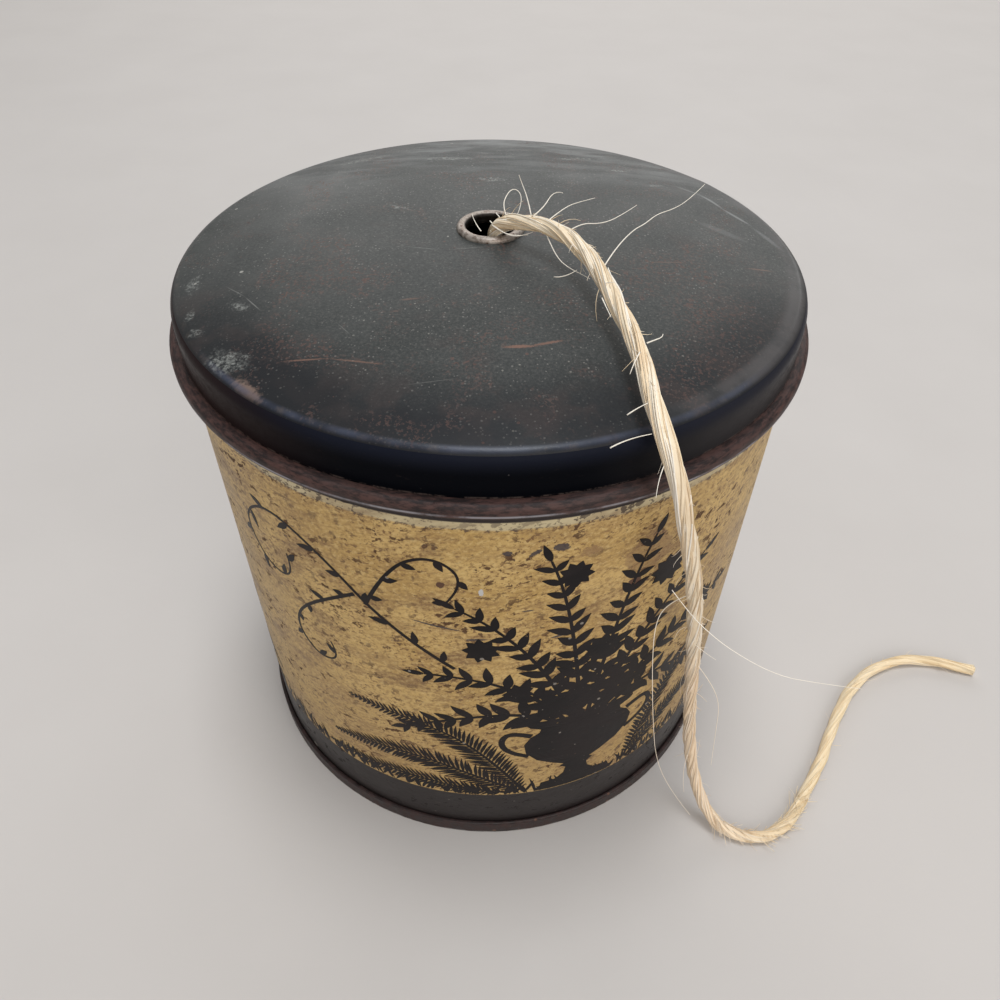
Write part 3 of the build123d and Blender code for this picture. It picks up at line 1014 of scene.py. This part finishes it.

# %% [markdown]
# ## The printed wall
# The tin's colours are printed flat on the sheet before it is rolled: an ochre ground that has
# foxed and streaked along the roll, a cream margin under the bead, and a charcoal band round the
# foot. The bead has lost nearly all of its print and rusted brown. Along its lower edge runs a
# thin bright line, partly tin rubbed bare and partly a painted highlight, and under it a painted
# shadow reaches down onto the wall. To follow the sheet as it was printed, the patterns are read
# in unrolled coordinates: the arc round the tin, and the height. They meet at the back, where the
# side seam is.


# %% Unrolled coordinates
def unrolled(finish):
    """Arc length round the tin from its front, and coordinates made of that and the height."""
    front = finish.math("MULTIPLY", finish.y, -1.0)
    arc = finish.math("MULTIPLY", finish.math("ARCTAN2", finish.x, front), wall_radius)
    return arc, finish.add("ShaderNodeCombineXYZ", {0: arc, 1: finish.z}).outputs[0]


def seen_on_wall(x, y):
    """Arc and height of the place on the wall that a pixel shows, as coordinates."""
    way = sight(x, y)
    a = way.x ** 2 + way.y ** 2
    b = way.x * camera_place.x + way.y * camera_place.y
    c = camera_place.x ** 2 + camera_place.y ** 2 - wall_radius ** 2
    place = camera_place + way * ((-b - math.sqrt(b * b - a * c)) / a)
    return Vector((math.atan2(place.x, -place.y) * wall_radius, place.z, 0.0))


print("a chip in the wall is at", [round(v / MM) for v in seen_on_wall(562, 547)])

# %% Printed wall: the ochre ground
litho = Finish("printed_ground", roughness=0.42, specular=0.30)
arc, flat = unrolled(litho)


def drawn_out(scale, turn):
    """Unrolled coordinates drawn out along the roll, for streaks at an angle to it."""
    return litho.stretched((scale, 1.0, 1.0), place=flat, turn=turn)


slant = drawn_out(0.78, 14)
cloud = litho.noise(20, detail=5.0, rough=0.6, place=flat)
smear = litho.noise(5.0, detail=5.0, rough=0.65, place=drawn_out(0.35, 10))
mottle = litho.noise(0.8, detail=4.0, rough=0.7, place=slant)
litho.start(litho.ease(cloud, 0.36, 0.64), (0.45, 0.285, 0.092), (0.60, 0.410, 0.158))
litho.wash((0.30, 0.180, 0.072), smear, 0.47, 0.70, 0.66)
litho.wash((0.27, 0.158, 0.062), mottle, 0.51, 0.62, 0.58)
litho.wash((0.66, 0.490, 0.225), mottle, 0.48, 0.38, 0.50)
litho.wash((0.34, 0.215, 0.090), litho.z, 66 * MM, 24 * MM, 0.34)
print("ground laid")

# %% Printed wall: foxing and stains
foxing = litho.patches(12, 0.36, 0.64, detail=4.0, place=flat)
flecks = litho.both(litho.patches(1.9, 0.575, 0.605, detail=4.0, rough=0.62, place=slant),
                    litho.ease(foxing, 0.0, 1.0, 0.50, 1.0))
small_flecks = litho.both(litho.patches(0.75, 0.56, 0.60, rough=0.6, place=slant),
                          litho.ease(foxing, 0.0, 1.0, 0.35, 1.0))
blots = litho.both(litho.specks(5.0, 1.25, litho.both(foxing, 0.85), place=drawn_out(0.6, 16)),
                   litho.patches(0.9, 0.40, 0.58, detail=5.0, rough=0.75))
litho.lay((0.130, 0.058, 0.024), small_flecks, 0.78)
litho.lay((0.072, 0.031, 0.015), flecks, 0.92)
litho.lay((0.078, 0.034, 0.018), blots, 0.9)

stains = litho.noise(9, detail=6.0, rough=0.7, place=drawn_out(0.55, 8))
litho.lay((0.190, 0.105, 0.048), litho.ease(stains, 0.50, 0.64, 0.0, 0.72),
          litho.ease(mottle, 0.40, 0.56, 0.55, 1.0))
litho.lay((0.120, 0.066, 0.036),
          litho.patches(1.3, 0.68, 0.78, 0.0, 0.5, detail=3.0, place=drawn_out(0.10, 3), warp=0.4))
print("foxing laid")

# %% Printed wall: chips where the photograph shows them
# Each has its pixel, its half-sizes in millimetres, its angle and its kind
chips = [
    ((508, 554), (0.9, 0.7), 0, "dark"), ((536, 553), (1.5, 0.5), 35, "dark"),
    ((562, 547), (1.7, 1.0), -8, "dark"), ((481, 593), (0.5, 1.1), 0, "bright"),
    ((634, 582), (1.9, 1.5), 10, "rust"), ((440, 585), (0.9, 0.9), 0, "rust"),
    ((592, 551), (2.1, 1.4), 0, "stain"), ((528, 611), (1.2, 0.25), 4, "dark"),
    ((436, 626), (5.5, 0.28), -10, "dark"), ((476, 640), (2.2, 0.35), 4, "dark"),
    ((558, 636), (1.6, 0.35), 10, "dark"), ((650, 552), (4.6, 6.5), 20, "stain"),
]
# The tone, strength and raggedness of each kind
chip_kinds = {
    "dark": ((0.058, 0.045, 0.046), 0.94, 0.9), "bright": ((0.52, 0.52, 0.53), 0.94, 0.9),
    "rust": ((0.078, 0.031, 0.020), 0.94, 0.9), "stain": ((0.215, 0.118, 0.060), 0.50, 1.6),
}
any_depth = 1000
for pixel, half, turn, kind in chips:
    tone, strength, ragged = chip_kinds[kind]
    chip = litho.mark(seen_on_wall(*pixel), (*half, any_depth), turn, ragged, place=flat)
    litho.wash(tone, chip, 0.02, 0.30, strength)
print("chips:", len(chips))

# %% Printed wall: cream margin and foot band
band_top = 17.0 * MM
margin_foot = 103.2 * MM
wander = litho.math("SUBTRACT", litho.noise(6, detail=5.0, rough=0.65, place=flat), 0.5)
wandering_height = litho.math("ADD", litho.z, litho.both(wander, 1.1 * MM))
in_margin = litho.ease(wandering_height, margin_foot - 0.25 * MM, margin_foot + 0.25 * MM)
cream = litho.blend(litho.ease(smear, 0.4, 0.7), (0.56, 0.470, 0.290), (0.34, 0.250, 0.140))
any_fleck = litho.either(flecks, small_flecks, blots)
cream = litho.blend(litho.both(any_fleck, 0.85), cream, (0.060, 0.040, 0.034))
litho.lay(cream, in_margin)
on_line = litho.between(litho.z, margin_foot - 0.5 * MM, margin_foot + 0.3 * MM, 0.25 * MM)
litho.lay((0.075, 0.050, 0.042), on_line, litho.ease(mottle, 0.5, 0.58), 0.8)

rub = litho.patches(3.0, 0.58, 0.74, detail=6.0, rough=0.7, place=drawn_out(0.38, 0))
band_grit = litho.specks(1.7, 0.26, 0.20, place=flat)
band_chips = litho.both(litho.specks(6.5, 0.9, 0.42, place=flat), litho.ease(stains, 0.35, 0.6))
charcoal = litho.blend(cloud, (0.0125, 0.0095, 0.0095), (0.0270, 0.0215, 0.0210))
charcoal = litho.blend(litho.both(rub, 0.4), charcoal, (0.085, 0.065, 0.055))
charcoal = litho.blend(litho.both(band_grit, 0.45), charcoal, (0.20, 0.18, 0.16))
charcoal = litho.blend(litho.both(band_chips, 0.7), charcoal, (0.30, 0.27, 0.24))
in_band = litho.ease(litho.z, band_top + 0.12 * MM, band_top - 0.12 * MM)
litho.lay(charcoal, in_band)
print("margin and band laid")

# %% Printed wall: the rusted bead, with painted shadow and highlight
# Rust on the bead, reaching a little below its foot, where it is painted shadow
over_bead = litho.ease(litho.z, bead_low - 0.95 * MM, bead_low - 0.65 * MM)
round_the_ring = {0: litho.both(arc, 0.30), 1: litho.from_axis(), 2: litho.z}
on_ring = litho.add("ShaderNodeCombineXYZ", round_the_ring).outputs[0]
scale_rust = litho.noise(0.7, detail=5.0, rough=0.7, place=on_ring)
brown = litho.blend(litho.ease(scale_rust, 0.38, 0.62), (0.016, 0.0095, 0.0095), (0.072, 0.036, 0.031))
brown = litho.blend(litho.ease(cloud, 0.45, 0.7, 0.0, 0.35), brown, (0.052, 0.038, 0.036))
# Painted shadow: dark under the bead's lower bend and on the wall beneath it
painted_shadow_under_bead = litho.ease(litho.z, bead_lower_bend - 0.30 * MM, bead_lower_bend - 0.60 * MM)
brown = litho.blend(painted_shadow_under_bead, brown, (0.020, 0.014, 0.014))
litho.lay(brown, over_bead)
# A thin bright line at the bead's lower edge: partly tin rubbed bare, partly a painted highlight
bright_line = litho.between(litho.z, bead_lower_bend - 0.25 * MM, bead_lower_bend + 0.15 * MM, 0.14 * MM)
litho.lay((0.300, 0.290, 0.315), bright_line,
          litho.patches(7, 0.38, 0.60, 0.05, 0.85, detail=6.0, rough=0.65, place=flat))

litho.raise_by(smear, 0.035)
litho.raise_by(litho.both(over_bead, scale_rust), 0.045)
litho.raise_by(litho.math("SUBTRACT", 0.0, flecks), 0.02)
litho.raise_by(litho.both(in_band, litho.noise(8, detail=3.0, place=flat)), 0.25)
gloss = litho.ease(cloud, 0.3, 0.7, 0.36, 0.5)
gloss = litho.either(gloss, litho.both(over_bead, 0.55), litho.both(flecks, 0.75))
dress(wall, litho.finish(gloss), bare)


def inside_wall(face):
    """Whether a face of the wall looks inwards or belongs to the neck."""
    return faces_axis(face) or face.center.z > ledge + 0.4 * MM


print("bare faces in the wall:", coat(wall, wall_bare_slot, inside_wall), "nodes:", len(litho.tree.nodes))
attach(wall, "tin")
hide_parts("body_wall")

# %% [markdown]
# ## Base, seam and eyelet
# The construction holds the true double seam: the base panel's rim and the wall's foot hooked
# into each other. It stays as it is and takes a dark rusted finish. The eyelet also stays: a
# rolled brass ring, dull with oxide, with painted shade in its bore.

# %% Base seam finish
seam = Finish("rusted_seam", roughness=0.5, specular=0.4)
crust = seam.noise(2.0, detail=6.0, rough=0.72)
seam.start(seam.ease(crust, 0.38, 0.66), (0.017, 0.0098, 0.0095), (0.048, 0.025, 0.023))
seam.lay((0.125, 0.062, 0.040), seam.specks(2.0, 0.5, 0.3))
rests_on_floor = seam.ease(seam.z, 0.9 * MM, 0.3 * MM)
seam.lay((0.26, 0.25, 0.25), rests_on_floor, seam.patches(5, 0.45, 0.6, detail=5.0), 0.7)
seam.raise_by(crust, 0.08)
dress(bpy.data.objects["base_end"], seam.finish(seam.ease(crust, 0.3, 0.7, 0.38, 0.66)))
print("seam nodes:", len(seam.tree.nodes))

# %% Eyelet finish
oxide = Finish("dull_eyelet", roughness=0.45, metallic=0.85)
bloom = oxide.noise(1.1, detail=6.0, rough=0.72)
oxide.start(oxide.ease(bloom, 0.36, 0.62), (0.20, 0.155, 0.130), (0.48, 0.43, 0.385))
oxide.lay((0.12, 0.06, 0.045), oxide.specks(0.8, 0.26, 0.34))
# Painted shade in the bore of the eyelet
painted_shade_in_bore = oxide.ease(oxide.from_axis(), 5.1 * MM, 4.7 * MM)
oxide.lay((0.011, 0.009, 0.008), painted_shade_in_bore, 0.96)
oxide.raise_by(bloom, 0.06)
dress(bpy.data.objects["eyelet"], oxide.finish(oxide.ease(bloom, 0.3, 0.7, 0.34, 0.68)))
print("eyelet nodes:", len(oxide.tree.nodes))

# %% [markdown]
# ## The colour of the twine
# Each fibre keeps its own tone: straw, peach, cream, nearly white. Along its length the tone
# shifts a little and there is some dirt in the hollows. Low where it hangs outside the wall it is
# painted darker, as shade, and its tail is yellower.

# %% Twine fibres
strands = Finish("twine_fibre", roughness=0.72, specular=0.22)
own_tone = strands.add("ShaderNodeAttribute", attribute_name="tone").outputs["Fac"]
wobble = strands.math("SUBTRACT", strands.noise(6, detail=4.0), 0.5)
tone = strands.math("ADD", own_tone, strands.both(wobble, 0.7))
strands.start(strands.ease(tone, 0.10, 0.55), (0.78, 0.610, 0.410), (0.91, 0.780, 0.590))
strands.wash((0.97, 0.905, 0.800), tone, 0.45, 0.95)
strands.lay((0.52, 0.375, 0.225), strands.patches(2.2, 0.58, 0.76, 0.0, 0.35, detail=5.0, rough=0.7))
tail = strands.both(strands.ease(strands.x, 42 * MM, 80 * MM), strands.ease(strands.z, 12 * MM, 5 * MM))
strands.lay((0.93, 0.760, 0.490), tail, 0.55)
# Painted shade on the lower part of the hanging twine
painted_shade_low_hanging = strands.ease(strands.z, 78 * MM, 50 * MM)
outside_wall = strands.ease(strands.y, -30 * MM, -44 * MM)
strands.lay((0.83, 0.640, 0.470), painted_shade_low_hanging, strands.ease(tail, 1.0, 0.0), outside_wall, 0.45)
strands.raise_by(strands.noise(0.30, detail=2.0), 0.03)
fibre_finish = strands.finish()
dress(twine, fibre_finish)
dress(fibres, fibre_finish)
print("twine nodes:", len(strands.tree.nodes))

# %% [markdown]
# ## The print
# The ink drawing on such a tin is a thin raised film. It could be a picture laid on the wall, but
# shapes of its own stay sharp from close by, and the film catches the light at its edges as real
# ink does. This print is a garden in silhouette: an urn with a spray of leaves, ferns, scrolled
# tendrils and grass along the band. Everything in it is a strip of varying width along a line
# that is drawn in unrolled millimetres, wrapped on the wall, and given its thickness by Solidify.

# %% Ink: strips on the unrolled wall
ink_thickness = 0.03 * MM
ink_height = 0.045 * MM
ink_layer = 0.004 * MM
thinnest_half = 0.03
brush = random.Random(21)


class Ink(Gathered):
    """Flat shapes on the wall, each a strip along a line of (arc, height) in millimetres."""

    def strip(self, line, halves, lanes=2):
        """A strip along a line, with its half width given at each point."""
        line = np.array(line, dtype=float)
        ways = ways_along(line)
        sides = np.stack([-ways[:, 1], ways[:, 0]], 1)
        halves = np.maximum(np.broadcast_to(halves, len(line)), thinnest_half)
        spread = np.linspace(-1.0, 1.0, lanes + 1)
        flat = line[:, None, :] + sides[:, None, :] * halves[:, None, None] * spread[None, :, None]
        flat = flat.reshape(-1, 2)
        angles = flat[:, 0] * MM / wall_radius
        out = wall_radius + ink_height + ink_layer * (len(self.places) % 3)
        row = lanes + 1
        corners = [self.count + k * row + lane for k in range(len(line) - 1) for lane in range(lanes)]
        self.gather(np.stack([out * np.sin(angles), -out * np.cos(angles), flat[:, 1] * MM], 1),
                    [[here, here + row, here + row + 1, here + 1] for here in corners])

    def leaf(self, root, length, width, angle, bow=0.0, points=7, lanes=2):
        """A pointed leaf from its root, at an angle in degrees from the arc's direction."""
        shares = np.linspace(0.0, 1.0, points)
        a = math.radians(angle)
        side = bow * length * (shares - shares ** 2)
        line = [(root[0] + length * s * math.cos(a) - o * math.sin(a),
                 root[1] + length * s * math.sin(a) + o * math.cos(a)) for s, o in zip(shares, side)]
        self.strip(line, width / 2 * np.sin(math.pi * shares ** 0.8) ** 0.9, lanes)

    def stem(self, points, first, last, step=0.9):
        """A smooth line from one half width to another. Returns its points and their angles."""
        path = even_steps(smooth_line([(x, z, 0.0) for x, z in points], detail=8), step)[:, :2]
        self.strip(path, np.linspace(first, last, len(path)))
        ways = np.gradient(path, axis=0)
        return path, np.degrees(np.arctan2(ways[:, 1], ways[:, 0]))

    def spray(self, points, leaf_length, leaf_width, every):
        """A stem with leaves at both sides that shrink towards its tip."""
        path, angles = self.stem(points, 0.55, 0.22)
        for k in range(every, len(path), every):
            share = 1.0 - 0.55 * k / len(path)
            for side in (-1, 1):
                turn = angles[k] + side * brush.uniform(34, 62)
                length = leaf_length * share * brush.uniform(0.8, 1.15)
                self.leaf(path[k], length, leaf_width * share, turn, bow=-side * 0.18)
        self.leaf(path[-1], leaf_length * 0.6, leaf_width * 0.5, angles[-1])

    def frond(self, points, barb):
        """A fern frond: a stem with close fine barbs, longest at a third of its length."""
        path, angles = self.stem(points, 0.42, 0.16, step=1.05)
        for k in range(2, len(path) - 1):
            reach = barb * math.sin(math.pi * (k / len(path)) ** 0.62) + 0.5
            for side in (-1, 1):
                turn = angles[k] + side * (52 + brush.uniform(-4, 4))
                self.leaf(path[k], reach, 0.52 + 0.05 * reach, turn, bow=-side * 0.12, points=6, lanes=1)

    def build(self, name):
        """The finished film of ink."""
        obj = place_in_scene(name, self.mesh(name))
        bpy.ops.object.select_all(action="DESELECT")
        obj.select_set(True)
        bpy.context.view_layer.objects.active = obj
        film = obj.modifiers.new("film", "SOLIDIFY")
        film.thickness = ink_thickness
        film.offset = -1.0
        bpy.ops.object.modifier_apply(modifier=film.name)
        return obj


ink = Ink()
print("ink lies", ink_height / MM, "mm proud")


# %% The urn and its spray of leaves
# Height and half width, from the foot to the lip
urn_outline = [
    (17.3, 9.5), (18.6, 9.6), (19.2, 8.2), (20.6, 8.0), (21.2, 4.6), (23.2, 2.9), (25.4, 2.5),
    (26.6, 3.9), (27.2, 3.0), (28.6, 5.4), (31.2, 9.3), (34.6, 11.8), (38.2, 12.3), (40.8, 11.0),
    (42.4, 9.2), (43.6, 8.9), (44.6, 11.2), (45.6, 12.0), (46.6, 11.6),
]
urn_handle = [(10.8, 41.4), (15.5, 44.0), (17.6, 39.6), (15.2, 35.2), (11.2, 33.4)]
urn_mouth = 45.5
flowers = [(-21, 72, 3.6), (14, 84, 4.0), (-5, 91, 3.3), (27, 66, 3.4), (2, 68, 4.2), (-14, 58, 3.2)]
widest_fan, widest_root = 80, 5.6
tallest_spray = 47


def draw_urn(middle):
    """A garden urn in silhouette, from its foot to its lip."""
    ink.strip([(middle, z) for z, half in urn_outline], [half for z, half in urn_outline], lanes=12)
    for side in (-1, 1):
        ink.stem([(middle + side * x, z) for x, z in urn_handle], 0.75, 0.6)


def draw_bush(middle):
    """Sprays that arch out of the urn's mouth, and the leaves and flowers between them."""
    sprays, leaves, petals = 8, 12, 9
    for k in range(sprays):
        fan = 2 * k / (sprays - 1) - 1
        reach = tallest_spray - 11 * abs(fan) + brush.uniform(-3, 3)
        lean = math.radians(90 - widest_fan * fan)
        droop = 13 * fan ** 2
        tip = (middle + reach * math.cos(lean), urn_mouth + reach * math.sin(lean) * 0.98 + 4 - droop)
        bow = (middle + reach * 0.44 * math.cos(lean), urn_mouth + reach * 0.62 * math.sin(lean) + 7)
        root = (middle + widest_root * fan, urn_mouth)
        ink.spray([root, bow, tip], leaf_length=7.4, leaf_width=2.9, every=4)
    for k in range(leaves):
        angle = 12 + 13 * k + brush.uniform(-5, 5)
        start = (middle + brush.uniform(-8, 8), urn_mouth + brush.uniform(0, 3))
        ink.leaf(start, brush.uniform(6, 10), brush.uniform(2.4, 3.4), angle, brush.uniform(-0.2, 0.2))
    for x, z, size in flowers:
        for petal in range(petals):
            ink.leaf((middle + x, z), size, size * 0.62, petal * 360 / petals + x)


print("urn outline:", len(urn_outline), "points")

# %% Ferns, tendrils and grass
ferns = [
    ([(-13, 18.5), (-24, 28), (-40, 33), (-57, 27)], 5.2),
    ([(-12, 18.5), (-20, 36), (-34, 47), (-50, 47)], 5.0),
    ([(-15, 18.0), (-28, 21), (-42, 22), (-60, 19.5)], 3.6),
    ([(14, 18.5), (22, 29), (33, 33), (45, 27)], 4.4),
    ([(13, 18.5), (19, 40), (28, 49), (38, 47)], 4.0),
]
tendrils = [
    ([(-26, 66), (-38, 76), (-50, 90), (-62, 95), (-72, 86), (-67, 76), (-58, 77), (-59, 84)], 3.4),
    ([(-42, 80), (-37, 92), (-29, 97), (-23, 91), (-27, 85)], 2.6),
    ([(-44, 82), (-55, 74), (-62, 63), (-57, 55), (-50, 58), (-52, 63)], 2.8),
]
tendril_leaf_width = 1.4
grass_root = 17.2
blade_width = 0.75


def draw_ferns(middle):
    """Fronds that sweep away from the urn's foot, on the left low and long."""
    for points, barb in ferns:
        ink.frond([(middle + x, z) for x, z in points], barb)


def draw_tendrils(middle):
    """Scrolled tendrils that fill the upper left, with small leaves."""
    for points, leaf_length in tendrils:
        path, angles = ink.stem([(middle + x, z) for x, z in points], 0.42, 0.2)
        for k in range(3, len(path), 7):
            side = brush.choice((-1, 1))
            length = leaf_length * brush.uniform(0.8, 1.3)
            ink.leaf(path[k], length, tendril_leaf_width, angles[k] + side * brush.uniform(35, 60))


def draw_grass(first, last):
    """Tufts of grass along the top of the band."""
    x = first
    while x < last:
        for blade in range(brush.randint(3, 5)):
            ink.leaf((x + brush.uniform(-0.8, 0.8), grass_root), brush.uniform(2.2, 6.5), blade_width,
                     brush.uniform(58, 122), brush.uniform(-0.25, 0.25))
        x += brush.uniform(1.6, 3.6)


print("ferns:", len(ferns), "tendrils:", len(tendrils))

# %% Three panels round the tin
panels = 3
panel_width = 2 * math.pi * wall_radius / MM / panels
urn_from_middle = 19.0
for panel in range(panels):
    start = (panel - panels / 2) * panel_width
    middle = start + panel_width / 2 + urn_from_middle
    draw_urn(middle)
    draw_bush(middle)
    draw_ferns(middle)
    draw_tendrils(middle)
    draw_grass(start, start + panel_width)
printed = ink.build("garden_print")
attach(printed, "tin")
print("print:", len(ink.places), "strips,", len(printed.data.polygons), "faces")

# %% Ink finish
black = Finish("printed_ink", roughness=0.45, specular=0.12)
flat = unrolled(black)[1]
cloud = black.noise(14, detail=4.0, place=flat)
black.start(black.ease(cloud, 0.4, 0.6), (0.0085, 0.0066, 0.0072), (0.0165, 0.0125, 0.0130))
flaking = black.patches(11, 0.48, 0.66, 0.03, 0.35, place=flat)
black.lay((0.30, 0.27, 0.24), black.specks(2.0, 0.42, flaking, place=flat), 0.75)
black.lay((0.16, 0.13, 0.11), black.specks(0.9, 0.16, 0.12, place=flat), 0.5)
black.lay((0.30, 0.195, 0.085), black.patches(2.4, 0.66, 0.70, detail=6.0, rough=0.7, place=flat), 0.8)
black.raise_by(black.noise(4, detail=4.0, place=flat), 0.05)
dress(printed, black.finish(black.ease(cloud, 0.3, 0.7, 0.33, 0.46)))
print("ink nodes:", len(black.tree.nodes))

# %% [markdown]
# ## The ball of twine
# The lid comes off, so the ball inside shows. It is a barrel of wound twine with a hole down its
# middle, from which the twine is drawn. Its outer turns climb the barrel in one length, a spiral
# closes its upper end, and a plain core with the marks of the turns on it fills what lies behind.

# %% Outer turns of the ball
core_low, core_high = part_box("ball_core")
ball_radius = core_high.x
ball_end_radius = 38.0 * MM
ball_half = (core_high.z - core_low.z) / 2
ball_middle = core_low.z + ball_half
ball_lay = 13 * MM
winding_turns = 22
points_a_turn = 44
winding_gap = 0.25 * MM
turn_gap = 0.6 * MM
bulge = ball_radius - ball_end_radius
barrel = (ball_half ** 2 + bulge ** 2) / (2 * bulge)
barrel_axis = ball_radius - barrel
ride = barrel + winding_gap + twine_radius
pitch_angle = (2 * twine_radius + turn_gap) / ride


def round_the_axis(radius, around, height):
    """Points at distances from the axis, angles round it and heights."""
    return np.stack([radius * np.cos(around), radius * np.sin(around), height], 1)


def winding_line():
    """Points of one length of twine wound up the barrel, a steady step from turn to turn."""
    turns = np.arange(points_a_turn * winding_turns + 1) / points_a_turn
    lean = pitch_angle * (turns - winding_turns / 2)
    radius = barrel_axis + ride * np.cos(lean)
    around = 2 * math.pi * turns
    return round_the_axis(radius, around, ball_middle + ride * np.sin(lean))


ball_turns = lay_up("ball_turns", winding_line(), ball_lay, fibres=4)
print("outer turns:", len(ball_turns.data.polygons), "faces")

# %% Spiral on the upper end
spiral_inner = 10.8 * MM
spiral_outer = ball_end_radius - 1.6 * MM
spiral_gap = 0.15 * MM
points_a_spiral_turn = 56


def end_spiral():
    """Points of the spiral from the rim of the hole to the edge of the barrel."""
    spiral_turns = (spiral_outer - spiral_inner) / (2 * twine_radius + spiral_gap)
    shares = np.linspace(0.0, 1.0, int(spiral_turns * points_a_spiral_turn))
    radius = spiral_inner + (spiral_outer - spiral_inner) * shares
    around = -2 * math.pi * spiral_turns * shares
    sag = 0.9 * MM * shares ** 3
    wave = 0.25 * MM * np.sin(around * 1.7)
    return round_the_axis(radius, around, core_high.z - 0.1 * MM - sag + wave)


top_turns = lay_up("ball_top_turns", end_spiral(), ball_lay, fibres=4)
print("top turns:", len(top_turns.data.polygons), "faces")

# %% Core of the ball
core_sink = 0.9 * MM
core_top = core_high.z - core_sink
core_radius = barrel - core_sink
bore = 9.0 * MM
corner, shallow_corner = 1.0 * MM, 0.6 * MM
rim = 4 * MM
side_lean = math.asin((ball_half - rim) / barrel)
bore_step = 1.5 * MM
rib_depth = 0.5 * MM

side = [(barrel_axis + core_radius * math.cos(a), ball_middle + core_radius * math.sin(a))
        for a in np.linspace(-1, 1, 41) * side_lean]
top = [(ball_end_radius - corner, core_top - shallow_corner), (ball_end_radius - rim, core_top),
       (bore + 2 * MM, core_top), (bore + 0.4 * MM, core_top - 0.8 * MM)]
ribs = [(bore + rib_depth * (k % 2), core_high.z - 2 * MM - k * bore_step) for k in range(56)]
hole = [(radius, z) for radius, z in ribs if z > core_low.z + bore_step]
foot = [(bore + 2 * MM, core_low.z), (ball_end_radius - rim, core_low.z),
        (ball_end_radius - corner, core_low.z + shallow_corner)]
core = turn_profile("ball_inside", side + top + hole + foot, steps=96)
print("ball core:", len(core.data.polygons), "faces")

# %% Finish and place of the ball
inner_twine = Finish("inner_windings", roughness=0.8, specular=0.2)
lines = inner_twine.noise(3.0, detail=5.0, place=inner_twine.stretched((1.0, 1.0, 6.0)))
inner_twine.start(inner_twine.ease(lines, 0.35, 0.65), (0.36, 0.24, 0.125), (0.56, 0.41, 0.25))
inner_twine.raise_by(lines, 0.3)
ball = [(core, inner_twine.finish(), "ball_fibre"), (ball_turns, fibre_finish, "twine_fibre"),
        (top_turns, fibre_finish, "twine_fibre")]
for piece, material, slot in ball:
    dress(piece, material)
    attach(piece, "tin")
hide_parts("ball_core")
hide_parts("ball_winding")
print("ball pieces:", len(ball))

# %% [markdown]
# ## Floor and light
# The tin stands on a plain pale floor. A small cool lamp right overhead draws the cool line along
# the front shoulder. A wide window low behind is mirrored in the back of the lid as haze. A warm
# light in front, as wide as a room's wall, lights the print and the hanging twine. The world adds
# a weak even glow, so that the shadow round the foot stays soft.

# %% Floor
floor_reach = 3.0
bpy.ops.object.select_all(action="DESELECT")
bpy.ops.mesh.primitive_plane_add(size=2 * floor_reach, location=(0, 0.8, 0))
floor = bpy.context.object
floor.name = "pale_floor"
bpy.ops.object.transform_apply(location=True, rotation=True, scale=True)
plaster = Finish("pale_floor", roughness=0.75, specular=0.25)
plaster.start(plaster.noise(60, detail=4.0), (0.575, 0.545, 0.525), (0.625, 0.595, 0.575))
plaster.raise_by(plaster.noise(2.5, detail=5.0), 0.04)
dress(floor, plaster.finish())
print("floor reaches", floor_reach, "m")

# %% Lights
# Each has its place, what it points at, its two sizes, its power and its tint
lights = {
    "overhead": ((0.05, 0.02, 1.50), (0.0, 0.0, 0.10), (0.55, 0.40), 9.5, (0.92, 0.96, 1.0)),
    "window": ((0.22, 1.45, 0.72), (0.0, 0.0, 0.10), (1.9, 0.8), 9.5, (1.0, 0.985, 0.96)),
    "room": ((0.35, -1.15, 0.80), (0.0, 0.0, 0.05), (1.5, 1.0), 10.5, (1.0, 0.965, 0.92)),
}
for name, (place, target, (width, depth), power, tint) in lights.items():
    data = bpy.data.lights.new(name, "AREA")
    data.shape = "RECTANGLE"
    data.size = width
    data.size_y = depth
    data.energy = power
    data.color = tint
    lamp = place_in_scene(name, data)
    lamp.location = place
    lamp.rotation_euler = (Vector(target) - Vector(place)).to_track_quat("-Z", "Y").to_euler()

world = bpy.data.worlds.new("pale_room")
world.use_nodes = True
world.node_tree.nodes["Background"].inputs["Color"].default_value = (0.93, 0.92, 0.90, 1.0)
world.node_tree.nodes["Background"].inputs["Strength"].default_value = 0.35
bpy.context.scene.world = world
bpy.context.scene.view_settings.view_transform = "Standard"
print("lights:", list(lights))
